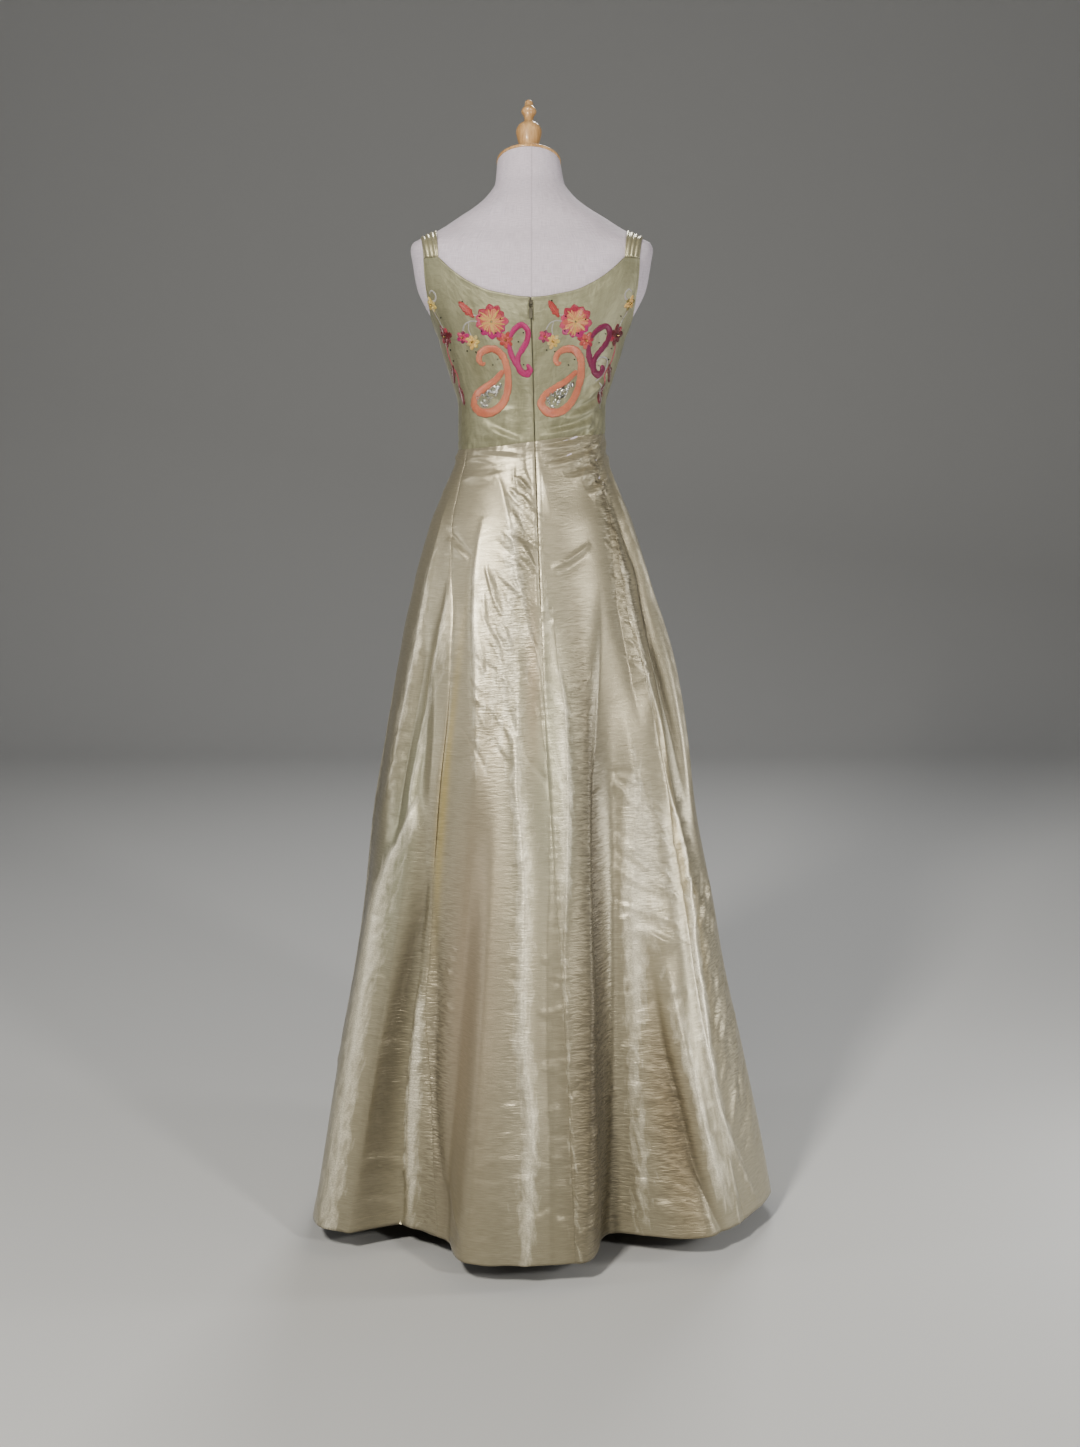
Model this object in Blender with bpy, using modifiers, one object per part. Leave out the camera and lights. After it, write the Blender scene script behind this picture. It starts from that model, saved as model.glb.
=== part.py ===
"""A floor-length evening gown with shoulder straps, standing on a limbless dress form.

Metres, +Z up. The origin is on the floor, under the middle of the form's base plate.
-Y is the gown's back with its zip, +Y its front, and +X its right as seen from behind.
Angles round the body are in degrees from the centre back, growing towards +X, so that the
centre front is at 180. The gown's cut pieces are single walls of cloth that hang clear of the
form: three bodice panels, two straps and five skirt gores.
"""
import math
from collections import namedtuple

import bpy
from mathutils import Matrix, Vector

# Driving sizes of the gown
WAIST_HEIGHT = 1.208       # the waist seam at the centre back
WAIST_TILT = 0.012         # the seam rides up on the right and down on the left
HEM_HEIGHT = 0.035
NECKLINE_HEIGHT = 1.418    # its lowest point, at the centre back
CLOTH = 0.0014             # wall of the cloth, taffeta with its organza overlay
EASE = 0.0026              # air between the form and the inside of the cloth
SEAM_GAP = 0.0003
SIDE_SEAM_ANGLE = 88.0     # the bodice's side seams, just behind the sides

# Driving sizes of the zip
ZIP_TOP, ZIP_BOTTOM = 1.411, 0.965
TAPE_HALF_WIDTH = 0.011
TAPE = 0.0006
TAPE_GAP = 0.0010           # from the inside of the cloth to the tape
SLIDER_HEIGHT = 1.4085     # of the pull tab's pivot
SLIDER_STANDOFF = 0.0005   # from the cloth to the slider's plate
PULL_LENGTH = 0.0225

# Driving sizes of the form
FORM_BOTTOM, NECK_TOP = 0.920, 1.623
NECK_TILT = 24.0           # the neck's top plane leans forward
NECK_CENTRE = (-0.0045, 0.010)
NECK_BEND_HEIGHT = 1.530   # above it, the form leans over to the neck's centre and tilt
CAP_RADIUS, CAP_RIM, CAP_DOME = 0.0485, 0.0045, 0.018
FINIAL_LENGTH = 0.0910
POLE_RADIUS = 0.0125
BASE_RADIUS, BASE_THICKNESS = 0.150, 0.012

# Horizontal sections of the form, from the hips to the top of the neck
FormSection = namedtuple("FormSection", "height half_width back front squareness")
FORM_SECTIONS = (
    FormSection(0.920, 0.144, 0.096, 0.094, 2.2),
    FormSection(0.945, 0.156, 0.106, 0.101, 2.2),
    FormSection(1.000, 0.160, 0.116, 0.105, 2.2),
    FormSection(1.080, 0.148, 0.108, 0.103, 2.2),
    FormSection(1.140, 0.1275, 0.094, 0.096, 2.2),
    FormSection(1.200, 0.1085, 0.083, 0.088, 2.2),
    FormSection(1.260, 0.1085, 0.085, 0.095, 2.2),
    FormSection(1.300, 0.1190, 0.090, 0.106, 2.2),
    FormSection(1.340, 0.1320, 0.097, 0.116, 2.2),
    FormSection(1.367, 0.1395, 0.101, 0.120, 2.2),
    FormSection(1.385, 0.1475, 0.1035, 0.118, 2.2),
    FormSection(1.403, 0.158, 0.105, 0.114, 2.2),
    FormSection(1.437, 0.1735, 0.106, 0.103, 2.25),
    FormSection(1.477, 0.1805, 0.103, 0.090, 2.3),
    FormSection(1.494, 0.183, 0.098, 0.080, 2.3),
    FormSection(1.503, 0.1805, 0.093, 0.072, 2.3),
    FormSection(1.512, 0.163, 0.088, 0.065, 2.3),
    FormSection(1.522, 0.142, 0.083, 0.058, 2.25),
    FormSection(1.538, 0.1155, 0.077, 0.050, 2.2),
    FormSection(1.558, 0.082, 0.067, 0.045, 2.1),
    FormSection(1.572, 0.066, 0.058, 0.044, 2.0),
    FormSection(1.591, 0.0525, 0.049, 0.045, 2.0),
    FormSection(1.623, 0.0475, 0.0475, 0.0475, 2.0),
)
BUST_ANGLE, BUST_HEIGHT, BUST_FULLNESS = 154.0, 1.345, 0.010
BUST_SPREAD_ANGLE, BUST_SPREAD_HEIGHT = 17.0, 0.042

# How far the skirt stands out past the form, on each of its four sides
FlareSection = namedtuple("FlareSection", "height left right back front")
FLARE_SECTIONS = (
    FlareSection(0.035, 0.175, 0.214, 0.236, 0.216),
    FlareSection(0.088, 0.163, 0.204, 0.225, 0.205),
    FlareSection(0.261, 0.137, 0.168, 0.184, 0.166),
    FlareSection(0.401, 0.110, 0.137, 0.151, 0.135),
    FlareSection(0.498, 0.095, 0.120, 0.128, 0.114),
    FlareSection(0.635, 0.080, 0.092, 0.096, 0.084),
    FlareSection(0.761, 0.060, 0.075, 0.066, 0.057),
    FlareSection(0.873, 0.042, 0.054, 0.040, 0.034),
    FlareSection(0.930, 0.032, 0.038, 0.027, 0.022),
    FlareSection(0.980, 0.021, 0.022, 0.015, 0.012),
    FlareSection(1.040, 0.010, 0.009, 0.005, 0.004),
    FlareSection(1.130, 0.002, 0.001, 0.001, 0.001),
    FlareSection(1.180, 0.000, 0.000, 0.000, 0.000),
    FlareSection(1.230, 0.000, 0.000, 0.000, 0.000),
)

# The skirt's large folds in order round the hem. Each ridge (out) or valley (negative) grows
# down from its start height, and wanders from its top angle to its hem angle.
Fold = namedtuple("Fold", "name top_angle hem_angle out start")
FOLDS = (
    Fold("front_left_ridge", -160.0, -162.0, 0.014, 0.86),
    Fold("front_left_valley", -143.0, -143.0, -0.055, 0.92),
    Fold("side_left_ridge", -124.0, -121.0, 0.014, 0.86),
    Fold("side_left_valley", -102.0, -100.0, -0.026, 0.74),
    Fold("left_silhouette", -86.0, -80.0, 0.000, 0.90),
    Fold("left_lobe", -68.0, -57.0, 0.040, 0.96),
    Fold("left_lobe_edge", -52.0, -49.0, 0.022, 0.74),
    Fold("left_tuck", -43.0, -43.5, -0.062, 0.72),
    Fold("left_hollow", -34.0, -36.0, -0.065, 0.78),
    Fold("left_foot", -24.0, -27.5, -0.060, 0.72),
    Fold("centre_lobe_left", -13.0, -14.5, 0.008, 0.72),
    Fold("centre_lobe", 4.0, -2.0, 0.003, 0.90),
    Fold("centre_lobe_right", 29.0, 11.5, 0.000, 0.98),
    Fold("right_tuck", 45.0, 26.0, -0.091, 0.98),
    Fold("right_lobe", 62.0, 48.0, 0.004, 0.96),
    Fold("right_shoulder", 72.0, 61.0, 0.001, 0.90),
    Fold("right_silhouette", 84.0, 78.0, 0.007, 0.90),
    Fold("side_right_valley", 104.0, 101.0, -0.028, 0.74),
    Fold("side_right_ridge", 122.0, 120.0, 0.012, 0.84),
    Fold("front_right_valley", 141.0, 142.0, -0.052, 0.92),
    Fold("front_right_ridge", 160.0, 162.0, 0.012, 0.86),
    Fold("front_centre_valley", 180.0, 181.0, -0.040, 0.84),
)
FOLD_GROWTH = 1.2          # above 1, a fold opens slowly below its start

# Short tucks that die out at both ends, as beside the right hip
Tuck = namedtuple("Tuck", "name top_angle bottom_angle top bottom depth half_angle")
TUCKS = (
    Tuck("right_hip_tuck", 69.0, 69.0, 1.02, 0.50, 0.016, 8.0),
    Tuck("left_hip_tuck", -58.0, -47.0, 0.96, 0.56, 0.008, 7.0),
    Tuck("front_hip_tuck", 125.0, 128.0, 0.98, 0.52, 0.010, 8.0),
)

# Where the gores' seams run, as angles at each height
SeamRow = namedtuple("SeamRow", "height side_back_left centre_back side_back_right "
                                "side_front_right side_front_left")
SEAM_ROWS = (
    SeamRow(0.035, -29.0, 10.2, 60.0, 132.0, 225.0),
    SeamRow(0.280, -37.0, 10.0, 56.0, 132.0, 226.0),
    SeamRow(0.400, -40.0, 9.6, 56.5, 131.0, 227.0),
    SeamRow(0.600, -40.0, 8.3, 59.0, 130.0, 228.0),
    SeamRow(0.780, -40.5, 6.6, 58.0, 129.0, 229.0),
    SeamRow(0.940, -44.0, 5.8, 55.0, 128.0, 230.0),
    SeamRow(1.040, -52.0, 4.9, 57.0, 128.0, 231.0),
    SeamRow(1.130, -60.0, 4.2, 61.0, 128.0, 232.0),
    SeamRow(1.220, -65.0, 2.9, 68.0, 128.0, 232.0),
    SeamRow(1.418, -65.0, -0.8, 68.0, 128.0, 232.0),
)

# The bodice's top edge from the centre back to the side, then from the side to the centre
# front: distance from the middle and height. Between the two last points of the neckline the
# edge carries the strap.
BACK_NECKLINE = ((0.000, 1.418), (0.018, 1.419), (0.035, 1.422), (0.065, 1.4285),
                 (0.092, 1.441), (0.111, 1.4535), (0.127, 1.467), (0.138, 1.478))
BACK_ARMHOLE = ((0.1605, 1.478), (0.1595, 1.455), (0.1570, 1.430), (0.1530, 1.402))
SIDE_TOP_HEIGHT = 1.374
FRONT_ARMHOLE = ((0.1480, 1.400), (0.1450, 1.425), (0.1470, 1.448), (0.1500, 1.470))
FRONT_NECKLINE = ((0.1275, 1.470), (0.119, 1.450), (0.104, 1.428), (0.082, 1.410),
                  (0.055, 1.399), (0.028, 1.394), (0.000, 1.392))

# The strap's two edges on their way over the shoulder: share of the way from back to front,
# and the distance of the inner and the outer edge from the middle
StrapRow = namedtuple("StrapRow", "share inner outer")
STRAP_ROWS = (
    StrapRow(0.00, 0.1380, 0.1605),
    StrapRow(0.45, 0.1440, 0.1680),
    StrapRow(0.60, 0.1440, 0.1670),
    StrapRow(1.00, 0.1275, 0.1500),
)
STRAP_PIVOT = (0.000, 1.440)   # y and z inside the shoulder, from which the strap is cast

SKIRT_ROWS = 18
SKIRT_ROW_CROWDING = 1.6       # above 1, the rows crowd towards the waist
SKIRT_PANEL_COLUMNS = {
    "skirt_back_left": 18, "skirt_back_right": 18, "skirt_side_right": 14,
    "skirt_front": 20, "skirt_side_left": 24,
}
BODICE_ROWS = 10
STRAP_ROWS_LONG, STRAP_COLUMNS = 14, 2
STRAP_EASE = 0.0014            # the strap lies closer to the form on top of the shoulder
TAPE_ROWS = 22
FORM_SIDES, FORM_ROWS = 32, 30


def monotone(knots, values):
    """A smooth curve through the knots that never overshoots them, as a function."""
    steps = [b - a for a, b in zip(knots, knots[1:])]
    rises = [(b - a) / step for a, b, step in zip(values, values[1:], steps)]
    slopes = [rises[0]]
    for before, after in zip(rises, rises[1:]):
        same_way = before * after > 0.0
        slopes.append(2.0 * before * after / (before + after) if same_way else 0.0)
    slopes.append(rises[-1])

    def curve(x):
        x = min(max(x, knots[0]), knots[-1])
        i = max(j for j in range(len(steps)) if j == 0 or knots[j] <= x)
        t = (x - knots[i]) / steps[i]
        ease = t * t * (3.0 - 2.0 * t)
        lead_in = t * (1.0 - t) ** 2 * steps[i] * slopes[i]
        lead_out = t * t * (t - 1.0) * steps[i] * slopes[i + 1]
        return values[i] + (values[i + 1] - values[i]) * ease + lead_in + lead_out

    return curve


def columns_of(rows):
    """One smooth curve for each column of a table, by the column's name."""
    fields = rows[0]._fields
    knots = [row[0] for row in rows]
    return {field: monotone(knots, [row[i] for row in rows])
            for i, field in enumerate(fields) if i > 0}


FORM = columns_of(FORM_SECTIONS)
FLARE = columns_of(FLARE_SECTIONS)
SEAMS = columns_of(SEAM_ROWS)
STRAP = columns_of(STRAP_ROWS)


def bump(distance):
    """1 at no distance, falling smoothly to 0 at a distance of 1."""
    return max(0.0, 1.0 - distance * distance) ** 2


def form_radius(angle, height):
    """From the axis to the form's surface, along a direction round the body."""
    across, along = math.sin(math.radians(angle)), math.cos(math.radians(angle))
    depth = FORM["back" if along > 0.0 else "front"](height)
    power = FORM["squareness"](height)
    share = (abs(across) / FORM["half_width"](height)) ** power + (abs(along) / depth) ** power
    from_bust = (abs(angle_within(angle)) - BUST_ANGLE) / BUST_SPREAD_ANGLE
    above_bust = (height - BUST_HEIGHT) / BUST_SPREAD_HEIGHT
    fullness = BUST_FULLNESS * math.exp(-from_bust ** 2 - above_bust ** 2)
    return share ** (-1.0 / power) + fullness


def angle_within(angle):
    """The same direction, between -180 and 180."""
    return (angle + 180.0) % 360.0 - 180.0


def fold_out(angle, height):
    """How far the skirt's large folds carry the cloth out (or in) at one place."""
    stops = []
    for fold in FOLDS:
        grown = max(0.0, (fold.start - height) / (fold.start - HEM_HEIGHT))
        place = fold.top_angle + (fold.hem_angle - fold.top_angle) * min(1.0, grown)
        stops.append((place, fold.out * grown ** FOLD_GROWTH))
    angle = (angle - stops[0][0]) % 360.0 + stops[0][0]
    stops.append((stops[0][0] + 360.0, stops[0][1]))
    i = max(j for j in range(len(stops) - 1) if stops[j][0] <= angle)
    t = (angle - stops[i][0]) / (stops[i + 1][0] - stops[i][0])
    return stops[i][1] + (stops[i + 1][1] - stops[i][1]) * t * t * (3.0 - 2.0 * t)


def tuck_in(angle, height):
    """How far the short tucks pull the cloth in at one place."""
    depth = 0.0
    for tuck in TUCKS:
        along = (tuck.top - height) / (tuck.top - tuck.bottom)
        place = tuck.top_angle + (tuck.bottom_angle - tuck.top_angle) * along
        across = angle_within(angle - place) / tuck.half_angle
        depth += tuck.depth * bump(2.0 * along - 1.0) * bump(across)
    return depth


def cloth_radius(angle, height):
    """From the axis to the outside of the cloth: the form, the ease and the skirt's flare."""
    across = math.sin(math.radians(angle))
    side = FLARE["right" if across > 0.0 else "left"](height)
    end = FLARE["back" if math.cos(math.radians(angle)) > 0.0 else "front"](height)
    flare = side * across ** 2 + end * (1.0 - across ** 2)
    hips = max(height, 1.000)
    folds = fold_out(angle, height) - tuck_in(angle, height)
    return form_radius(angle, hips) + EASE + CLOTH + flare + folds


def place_at(radius, angle, height):
    """A point at a radius and an angle round the axis."""
    turn = math.radians(angle)
    return Vector((radius * math.sin(turn), -radius * math.cos(turn), height))


def cloth_point(angle, height, inwards=0.0):
    return place_at(cloth_radius(angle, height) - inwards, angle, height)


def cloth_normal(angle, height):
    """The direction straight out of the cloth."""
    turn, rise = 0.4, 0.002
    round_body = cloth_point(angle + turn, height) - cloth_point(angle - turn, height)
    upwards = cloth_point(angle, height + rise) - cloth_point(angle, height - rise)
    return round_body.cross(upwards).normalized()


def waist_seam(angle):
    """The height of the waist seam."""
    return WAIST_HEIGHT + WAIST_TILT * math.sin(math.radians(angle))


def gap_angle(angle, height, width=SEAM_GAP / 2.0):
    """The angle that a width along the cloth takes up."""
    return math.degrees(width / cloth_radius(angle, height))


def angle_at(across, height, towards_front):
    """The angle at which the cloth lies this far from the middle, on its back or front half."""
    near, far = (180.0, 90.0) if towards_front else (0.0, 90.0)
    for _ in range(30):
        middle = (near + far) / 2.0
        if abs(cloth_point(middle, height).x) < across:
            near = middle
        else:
            far = middle
    return (near + far) / 2.0


def top_edge():
    """The bodice's top edge from the centre back round one side to the centre front."""
    edge = [(angle_at(x, z, False), z) for x, z in BACK_NECKLINE + BACK_ARMHOLE]
    edge.append((90.0, SIDE_TOP_HEIGHT))
    edge += [(angle_at(x, z, True), z) for x, z in FRONT_ARMHOLE + FRONT_NECKLINE]
    return edge


TOP_EDGE = top_edge()
STRAP_CORNERS = (len(BACK_NECKLINE) - 1, len(BACK_NECKLINE))


def material(name, colour, roughness, metallic=0.0, sheen=0.0):
    """A plain finish for one kind of piece."""
    made = bpy.data.materials.new(name)
    made.use_nodes = True
    shader = made.node_tree.nodes["Principled BSDF"]
    shader.inputs["Base Color"].default_value = (*colour, 1.0)
    shader.inputs["Roughness"].default_value = roughness
    shader.inputs["Metallic"].default_value = metallic
    shader.inputs["Sheen Weight"].default_value = sheen
    return made


def add_object(name, mesh, collection, finish):
    piece = bpy.data.objects.new(name, mesh)
    piece.data.materials.append(finish)
    collection.objects.link(piece)
    return piece


def shell(name, outer, inner, collection, finish):
    """A thin wall between its outside and its inside, each given as rows of points.

    The rows run from top to bottom, and each towards growing angles, so that the faces of the
    outside point away from the body. Both sides are split along the same diagonals, so that
    the wall keeps its thickness where it twists.
    """
    across, down = len(outer[0]), len(outer)
    count = across * down
    points = [point for grid in (outer, inner) for row in grid for point in row]
    faces = []
    for i in range(down - 1):
        for j in range(across - 1):
            a = i * across + j
            b, c, d = a + across, a + across + 1, a + 1
            one_way = (points[a] - points[c]).length < (points[b] - points[d]).length
            for half in ((a, b, c), (a, c, d)) if one_way else ((a, b, d), (b, c, d)):
                faces.append(half)
                faces.append(tuple(count + corner for corner in reversed(half)))
    rim = list(range(across))
    rim += [i * across + across - 1 for i in range(1, down)]
    rim += [(down - 1) * across + j for j in range(across - 2, -1, -1)]
    rim += [i * across for i in range(down - 2, 0, -1)]
    for a, b in zip(rim, rim[1:] + rim[:1]):
        faces.append((a, b, count + b, count + a))
    mesh = bpy.data.meshes.new(name)
    mesh.from_pydata(points, [], faces)
    mesh.shade_smooth()
    mesh.set_sharp_from_angle(angle=math.radians(50.0))
    return add_object(name, mesh, collection, finish)


def cloth_wall(name, places, collection, finish):
    """A panel of cloth over rows of places, each an angle and a height."""
    outer = [[cloth_point(*place) for place in row] for row in places]
    inner = [[point - cloth_normal(*place) * CLOTH for point, place in zip(*rows)]
             for rows in zip(outer, places)]
    return shell(name, outer, inner, collection, finish)


def resampled(edge, count):
    """Points evenly spaced along an edge given as angles and heights, ends included."""
    lengths = [0.0]
    for (a, z), (b, w) in zip(edge, edge[1:]):
        lengths.append(lengths[-1] + (cloth_point(b, w) - cloth_point(a, z)).length)
    out = []
    for k in range(count + 1):
        target = lengths[-1] * k / count
        i = max(j for j in range(len(edge) - 1) if lengths[j] <= target)
        t = (target - lengths[i]) / (lengths[i + 1] - lengths[i])
        (a, z), (b, w) = edge[i], edge[i + 1]
        out.append((a + (b - a) * t, z + (w - z) * t))
    return out


def bodice_panel(name, edge, foot_start, foot_end, collection, finish):
    """A bodice panel between its top edge and the waist seam, both running one way."""
    rows = []
    top_angles = [a for a, _ in edge]
    spread = top_angles[-1] - top_angles[0]
    for i in range(BODICE_ROWS + 1):
        down = i / BODICE_ROWS
        row = []
        for j, (top_angle, top_height) in enumerate(edge):
            even = j / (len(edge) - 1)
            true = (top_angle - top_angles[0]) / spread
            share = true + (even - true) * 0.5
            foot_angle = foot_start + (foot_end - foot_start) * share
            angle = top_angle + (foot_angle - top_angle) * down
            foot_height = waist_seam(foot_angle) + SEAM_GAP / 2.0
            row.append((angle, top_height + (foot_height - top_height) * down))
        rows.append(row)
    return cloth_wall(name, rows, collection, finish)


def stitched_edge(pieces_of_edge, counts):
    """Joins resampled stretches of the top edge, so that each corner stays a point."""
    out = []
    for stretch, count in zip(pieces_of_edge, counts):
        made = resampled(stretch, count)
        out += made if not out else made[1:]
    return out


def make_bodice(collection, finish):
    """Two back panels that meet at the zip, and one front panel."""
    first, last = STRAP_CORNERS
    side = len(BACK_NECKLINE) + len(BACK_ARMHOLE)
    zip_top = SEAMS["centre_back"](NECKLINE_HEIGHT)
    zip_foot = SEAMS["centre_back"](WAIST_HEIGHT)
    gap_top = gap_angle(0.0, NECKLINE_HEIGHT)
    gap_foot = gap_angle(0.0, WAIST_HEIGHT)
    gap_side = gap_angle(90.0, SIDE_TOP_HEIGHT)
    seam = (SIDE_SEAM_ANGLE - gap_side, SIDE_TOP_HEIGHT)
    for side_name, hand in (("left", -1.0), ("right", 1.0)):
        neck = [(hand * a, z) for a, z in TOP_EDGE[:first + 1]]
        neck[0] = (zip_top + hand * gap_top, NECKLINE_HEIGHT)
        arm = [(hand * a, z) for a, z in TOP_EDGE[last:side]] + [(hand * seam[0], seam[1])]
        edge = stitched_edge((neck, [neck[-1], arm[0]], arm), (10, 2, 7))
        feet = [zip_foot + hand * gap_foot, hand * seam[0]]
        if hand < 0.0:
            edge.reverse()
            feet.reverse()
        bodice_panel("bodice_back_" + side_name, edge, *feet, collection, finish)
    right = [(a, z) for a, z in TOP_EDGE[side:]]
    right[0] = (SIDE_SEAM_ANGLE + gap_side, SIDE_TOP_HEIGHT)
    arm_end = len(FRONT_ARMHOLE)
    arm, neck = right[:arm_end + 1], right[arm_end + 1:]
    half = stitched_edge((arm, [arm[-1], neck[0]], neck), (6, 2, 9))
    other = [(360.0 - a, z) for a, z in reversed(half[:-1])]
    bodice_panel("bodice_front", half + other, half[0][0], other[-1][0], collection, finish)


def make_skirt(collection, finish):
    """Five gores between their seams, from the waist seam to the hem."""
    seams = {
        "skirt_back_left": ("side_back_left", "centre_back", 0.0),
        "skirt_back_right": ("centre_back", "side_back_right", 0.0),
        "skirt_side_right": ("side_back_right", "side_front_right", 0.0),
        "skirt_front": ("side_front_right", "side_front_left", 0.0),
        "skirt_side_left": ("side_front_left", "side_back_left", 360.0),
    }
    for name, (start, end, lap) in seams.items():
        columns = SKIRT_PANEL_COLUMNS[name]
        rows = []
        for i in range(SKIRT_ROWS + 1):
            down = (i / SKIRT_ROWS) ** SKIRT_ROW_CROWDING
            level = WAIST_HEIGHT + (HEM_HEIGHT - WAIST_HEIGHT) * down
            start_angle = SEAMS[start](level)
            end_angle = SEAMS[end](level) + lap
            start_angle += gap_angle(start_angle, level)
            end_angle -= gap_angle(end_angle, level)
            row = []
            for j in range(columns + 1):
                angle = start_angle + (end_angle - start_angle) * j / columns
                top = waist_seam(angle) - SEAM_GAP / 2.0
                row.append((angle, top + (HEM_HEIGHT - top) * down))
            rows.append(row)
        cloth_wall(name, rows, collection, finish)


def inside_form(x, y, height):
    """True where a point is inside the form."""
    depth = FORM["back" if y < 0.0 else "front"](height)
    power = FORM["squareness"](height)
    across = abs(x) / FORM["half_width"](height)
    return across ** power + (abs(y) / depth) ** power < 1.0


def shoulder_point(across, turn, lift):
    """A point over the shoulder, cast from inside it: 0 degrees is back, 90 up, 180 front."""
    y0, z0 = STRAP_PIVOT
    dy, dz = -math.cos(math.radians(turn)), math.sin(math.radians(turn))
    near, far = 0.0, 0.2
    for _ in range(30):
        middle = (near + far) / 2.0
        if inside_form(across, y0 + dy * middle, z0 + dz * middle):
            near = middle
        else:
            far = middle
    return Vector((across, y0 + dy * (near + lift), z0 + dz * (near + lift)))


def turn_at_height(across, height, on_front, lift):
    """The turn over the shoulder at which the strap's surface is at a height."""
    low, high = (180.0, 90.0) if on_front else (0.0, 90.0)
    for _ in range(30):
        middle = (low + high) / 2.0
        if shoulder_point(across, middle, lift).z < height:
            low = middle
        else:
            high = middle
    return (low + high) / 2.0


def make_strap(name, hand, collection, finish):
    """A strap over one shoulder, from the back panel's top to the front panel's."""
    back_height = BACK_NECKLINE[-1][1] + SEAM_GAP
    front_height = FRONT_NECKLINE[0][1] + SEAM_GAP
    sides = []
    for wall in (CLOTH, 0.0):
        rows = []
        for i in range(STRAP_ROWS_LONG + 1):
            share = i / STRAP_ROWS_LONG
            lift = wall + EASE - (EASE - STRAP_EASE) * bump(2.0 * share - 1.0)
            row = []
            for j in range(STRAP_COLUMNS + 1):
                inner, outer = STRAP["inner"](share), STRAP["outer"](share)
                across = inner + (outer - inner) * j / STRAP_COLUMNS
                start = turn_at_height(across, back_height, False, lift)
                end = turn_at_height(across, front_height, True, lift)
                point = shoulder_point(across, start + (end - start) * share, lift)
                point.x *= hand
                row.append(point)
            rows.append(row if hand < 0.0 else row[::-1])
        sides.append(rows)
    return shell(name, *sides, collection, finish)


def make_zip_tape(collection, finish):
    """The zip's tape, a strip behind the centre back seam."""
    sides = []
    for inwards in (CLOTH + TAPE_GAP, CLOTH + TAPE_GAP + TAPE):
        rows = []
        for i in range(TAPE_ROWS + 1):
            height = ZIP_TOP + (ZIP_BOTTOM - ZIP_TOP) * i / TAPE_ROWS
            middle = SEAMS["centre_back"](height)
            half = gap_angle(middle, height, TAPE_HALF_WIDTH)
            rows.append([cloth_point(middle + half * k, height, inwards)
                         for k in (-1.0, 0.0, 1.0)])
        sides.append(rows)
    return shell("zip_tape", *sides, collection, finish)


def box(name, size, centre, collection, finish, rounding=0.0):
    """A box by its size and centre, with its edges rounded off."""
    bpy.ops.mesh.primitive_cube_add(size=1.0)
    piece = bpy.context.object
    piece.name = name
    piece.data.name = name
    piece.data.transform(Matrix.Diagonal((*size, 1.0)))
    piece.location = centre
    if rounding:
        bevel = piece.modifiers.new("rounding", "BEVEL")
        bevel.width = rounding
        bevel.segments = 2
    piece.data.materials.append(finish)
    for owner in piece.users_collection:
        owner.objects.unlink(piece)
    collection.objects.link(piece)
    return piece


def combine(target, tool, operation, cutters):
    """Joins a tool to a piece or cuts it out, and puts the tool away."""
    step = target.modifiers.new(operation.lower(), "BOOLEAN")
    step.operation = operation
    step.object = tool
    for owner in tool.users_collection:
        owner.objects.unlink(tool)
    cutters.objects.link(tool)
    tool.hide_render = True
    tool.display_type = "WIRE"


# The slider, measured out from the cloth: plate, then the bridge that holds the pull tab
PLATE_SIZE = (0.0064, 0.0016, 0.0090)
BRIDGE_SIZE = (0.0024, 0.0034, 0.0044)
SLOT_SIZE = (0.0060, 0.0018, 0.0018)
PIVOT_OUT = 0.0035             # from the cloth to the pivot
PULL_THICKNESS = 0.0010
PULL_WIDTH, PULL_RAIL = 0.0052, 0.0009
PULL_WINDOW_LENGTH = 0.0062


def make_slider(pivot, collection, cutters, finish):
    """The zip's slider: a plate with a bridge, whose slot takes the pull tab's crossbar."""
    plate_y = pivot.y + PIVOT_OUT - SLIDER_STANDOFF - PLATE_SIZE[1] / 2.0
    plate = box("zip_slider", PLATE_SIZE, (pivot.x, plate_y, pivot.z), collection, finish,
                0.0004)
    bridge_y = plate_y - PLATE_SIZE[1] / 2.0 + 0.0004 - BRIDGE_SIZE[1] / 2.0
    bridge = box("slider_bridge", BRIDGE_SIZE, (pivot.x, bridge_y, pivot.z), collection,
                 finish, 0.0004)
    slot = box("slider_slot", SLOT_SIZE, pivot, collection, finish, 0.0004)
    combine(plate, bridge, "UNION", cutters)
    combine(plate, slot, "DIFFERENCE", cutters)


def make_pull(pivot, collection, cutters, finish):
    """The pull tab, hanging from the slider's bridge by its crossbar, with its origin there."""
    top = PULL_THICKNESS / 2.0
    tab = box("zip_pull", (PULL_WIDTH, PULL_THICKNESS, PULL_LENGTH), (0.0, 0.0, 0.0),
              collection, finish, 0.0003)
    tab.data.transform(Matrix.Translation((0.0, 0.0, top - PULL_LENGTH / 2.0)))
    tab.location = pivot
    window_size = (PULL_WIDTH - 2.0 * PULL_RAIL, 0.01, PULL_WINDOW_LENGTH)
    window_z = pivot.z - top - PULL_WINDOW_LENGTH / 2.0
    window = box("pull_window", window_size, (pivot.x, pivot.y, window_z), collection, finish)
    combine(tab, window, "DIFFERENCE", cutters)


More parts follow.
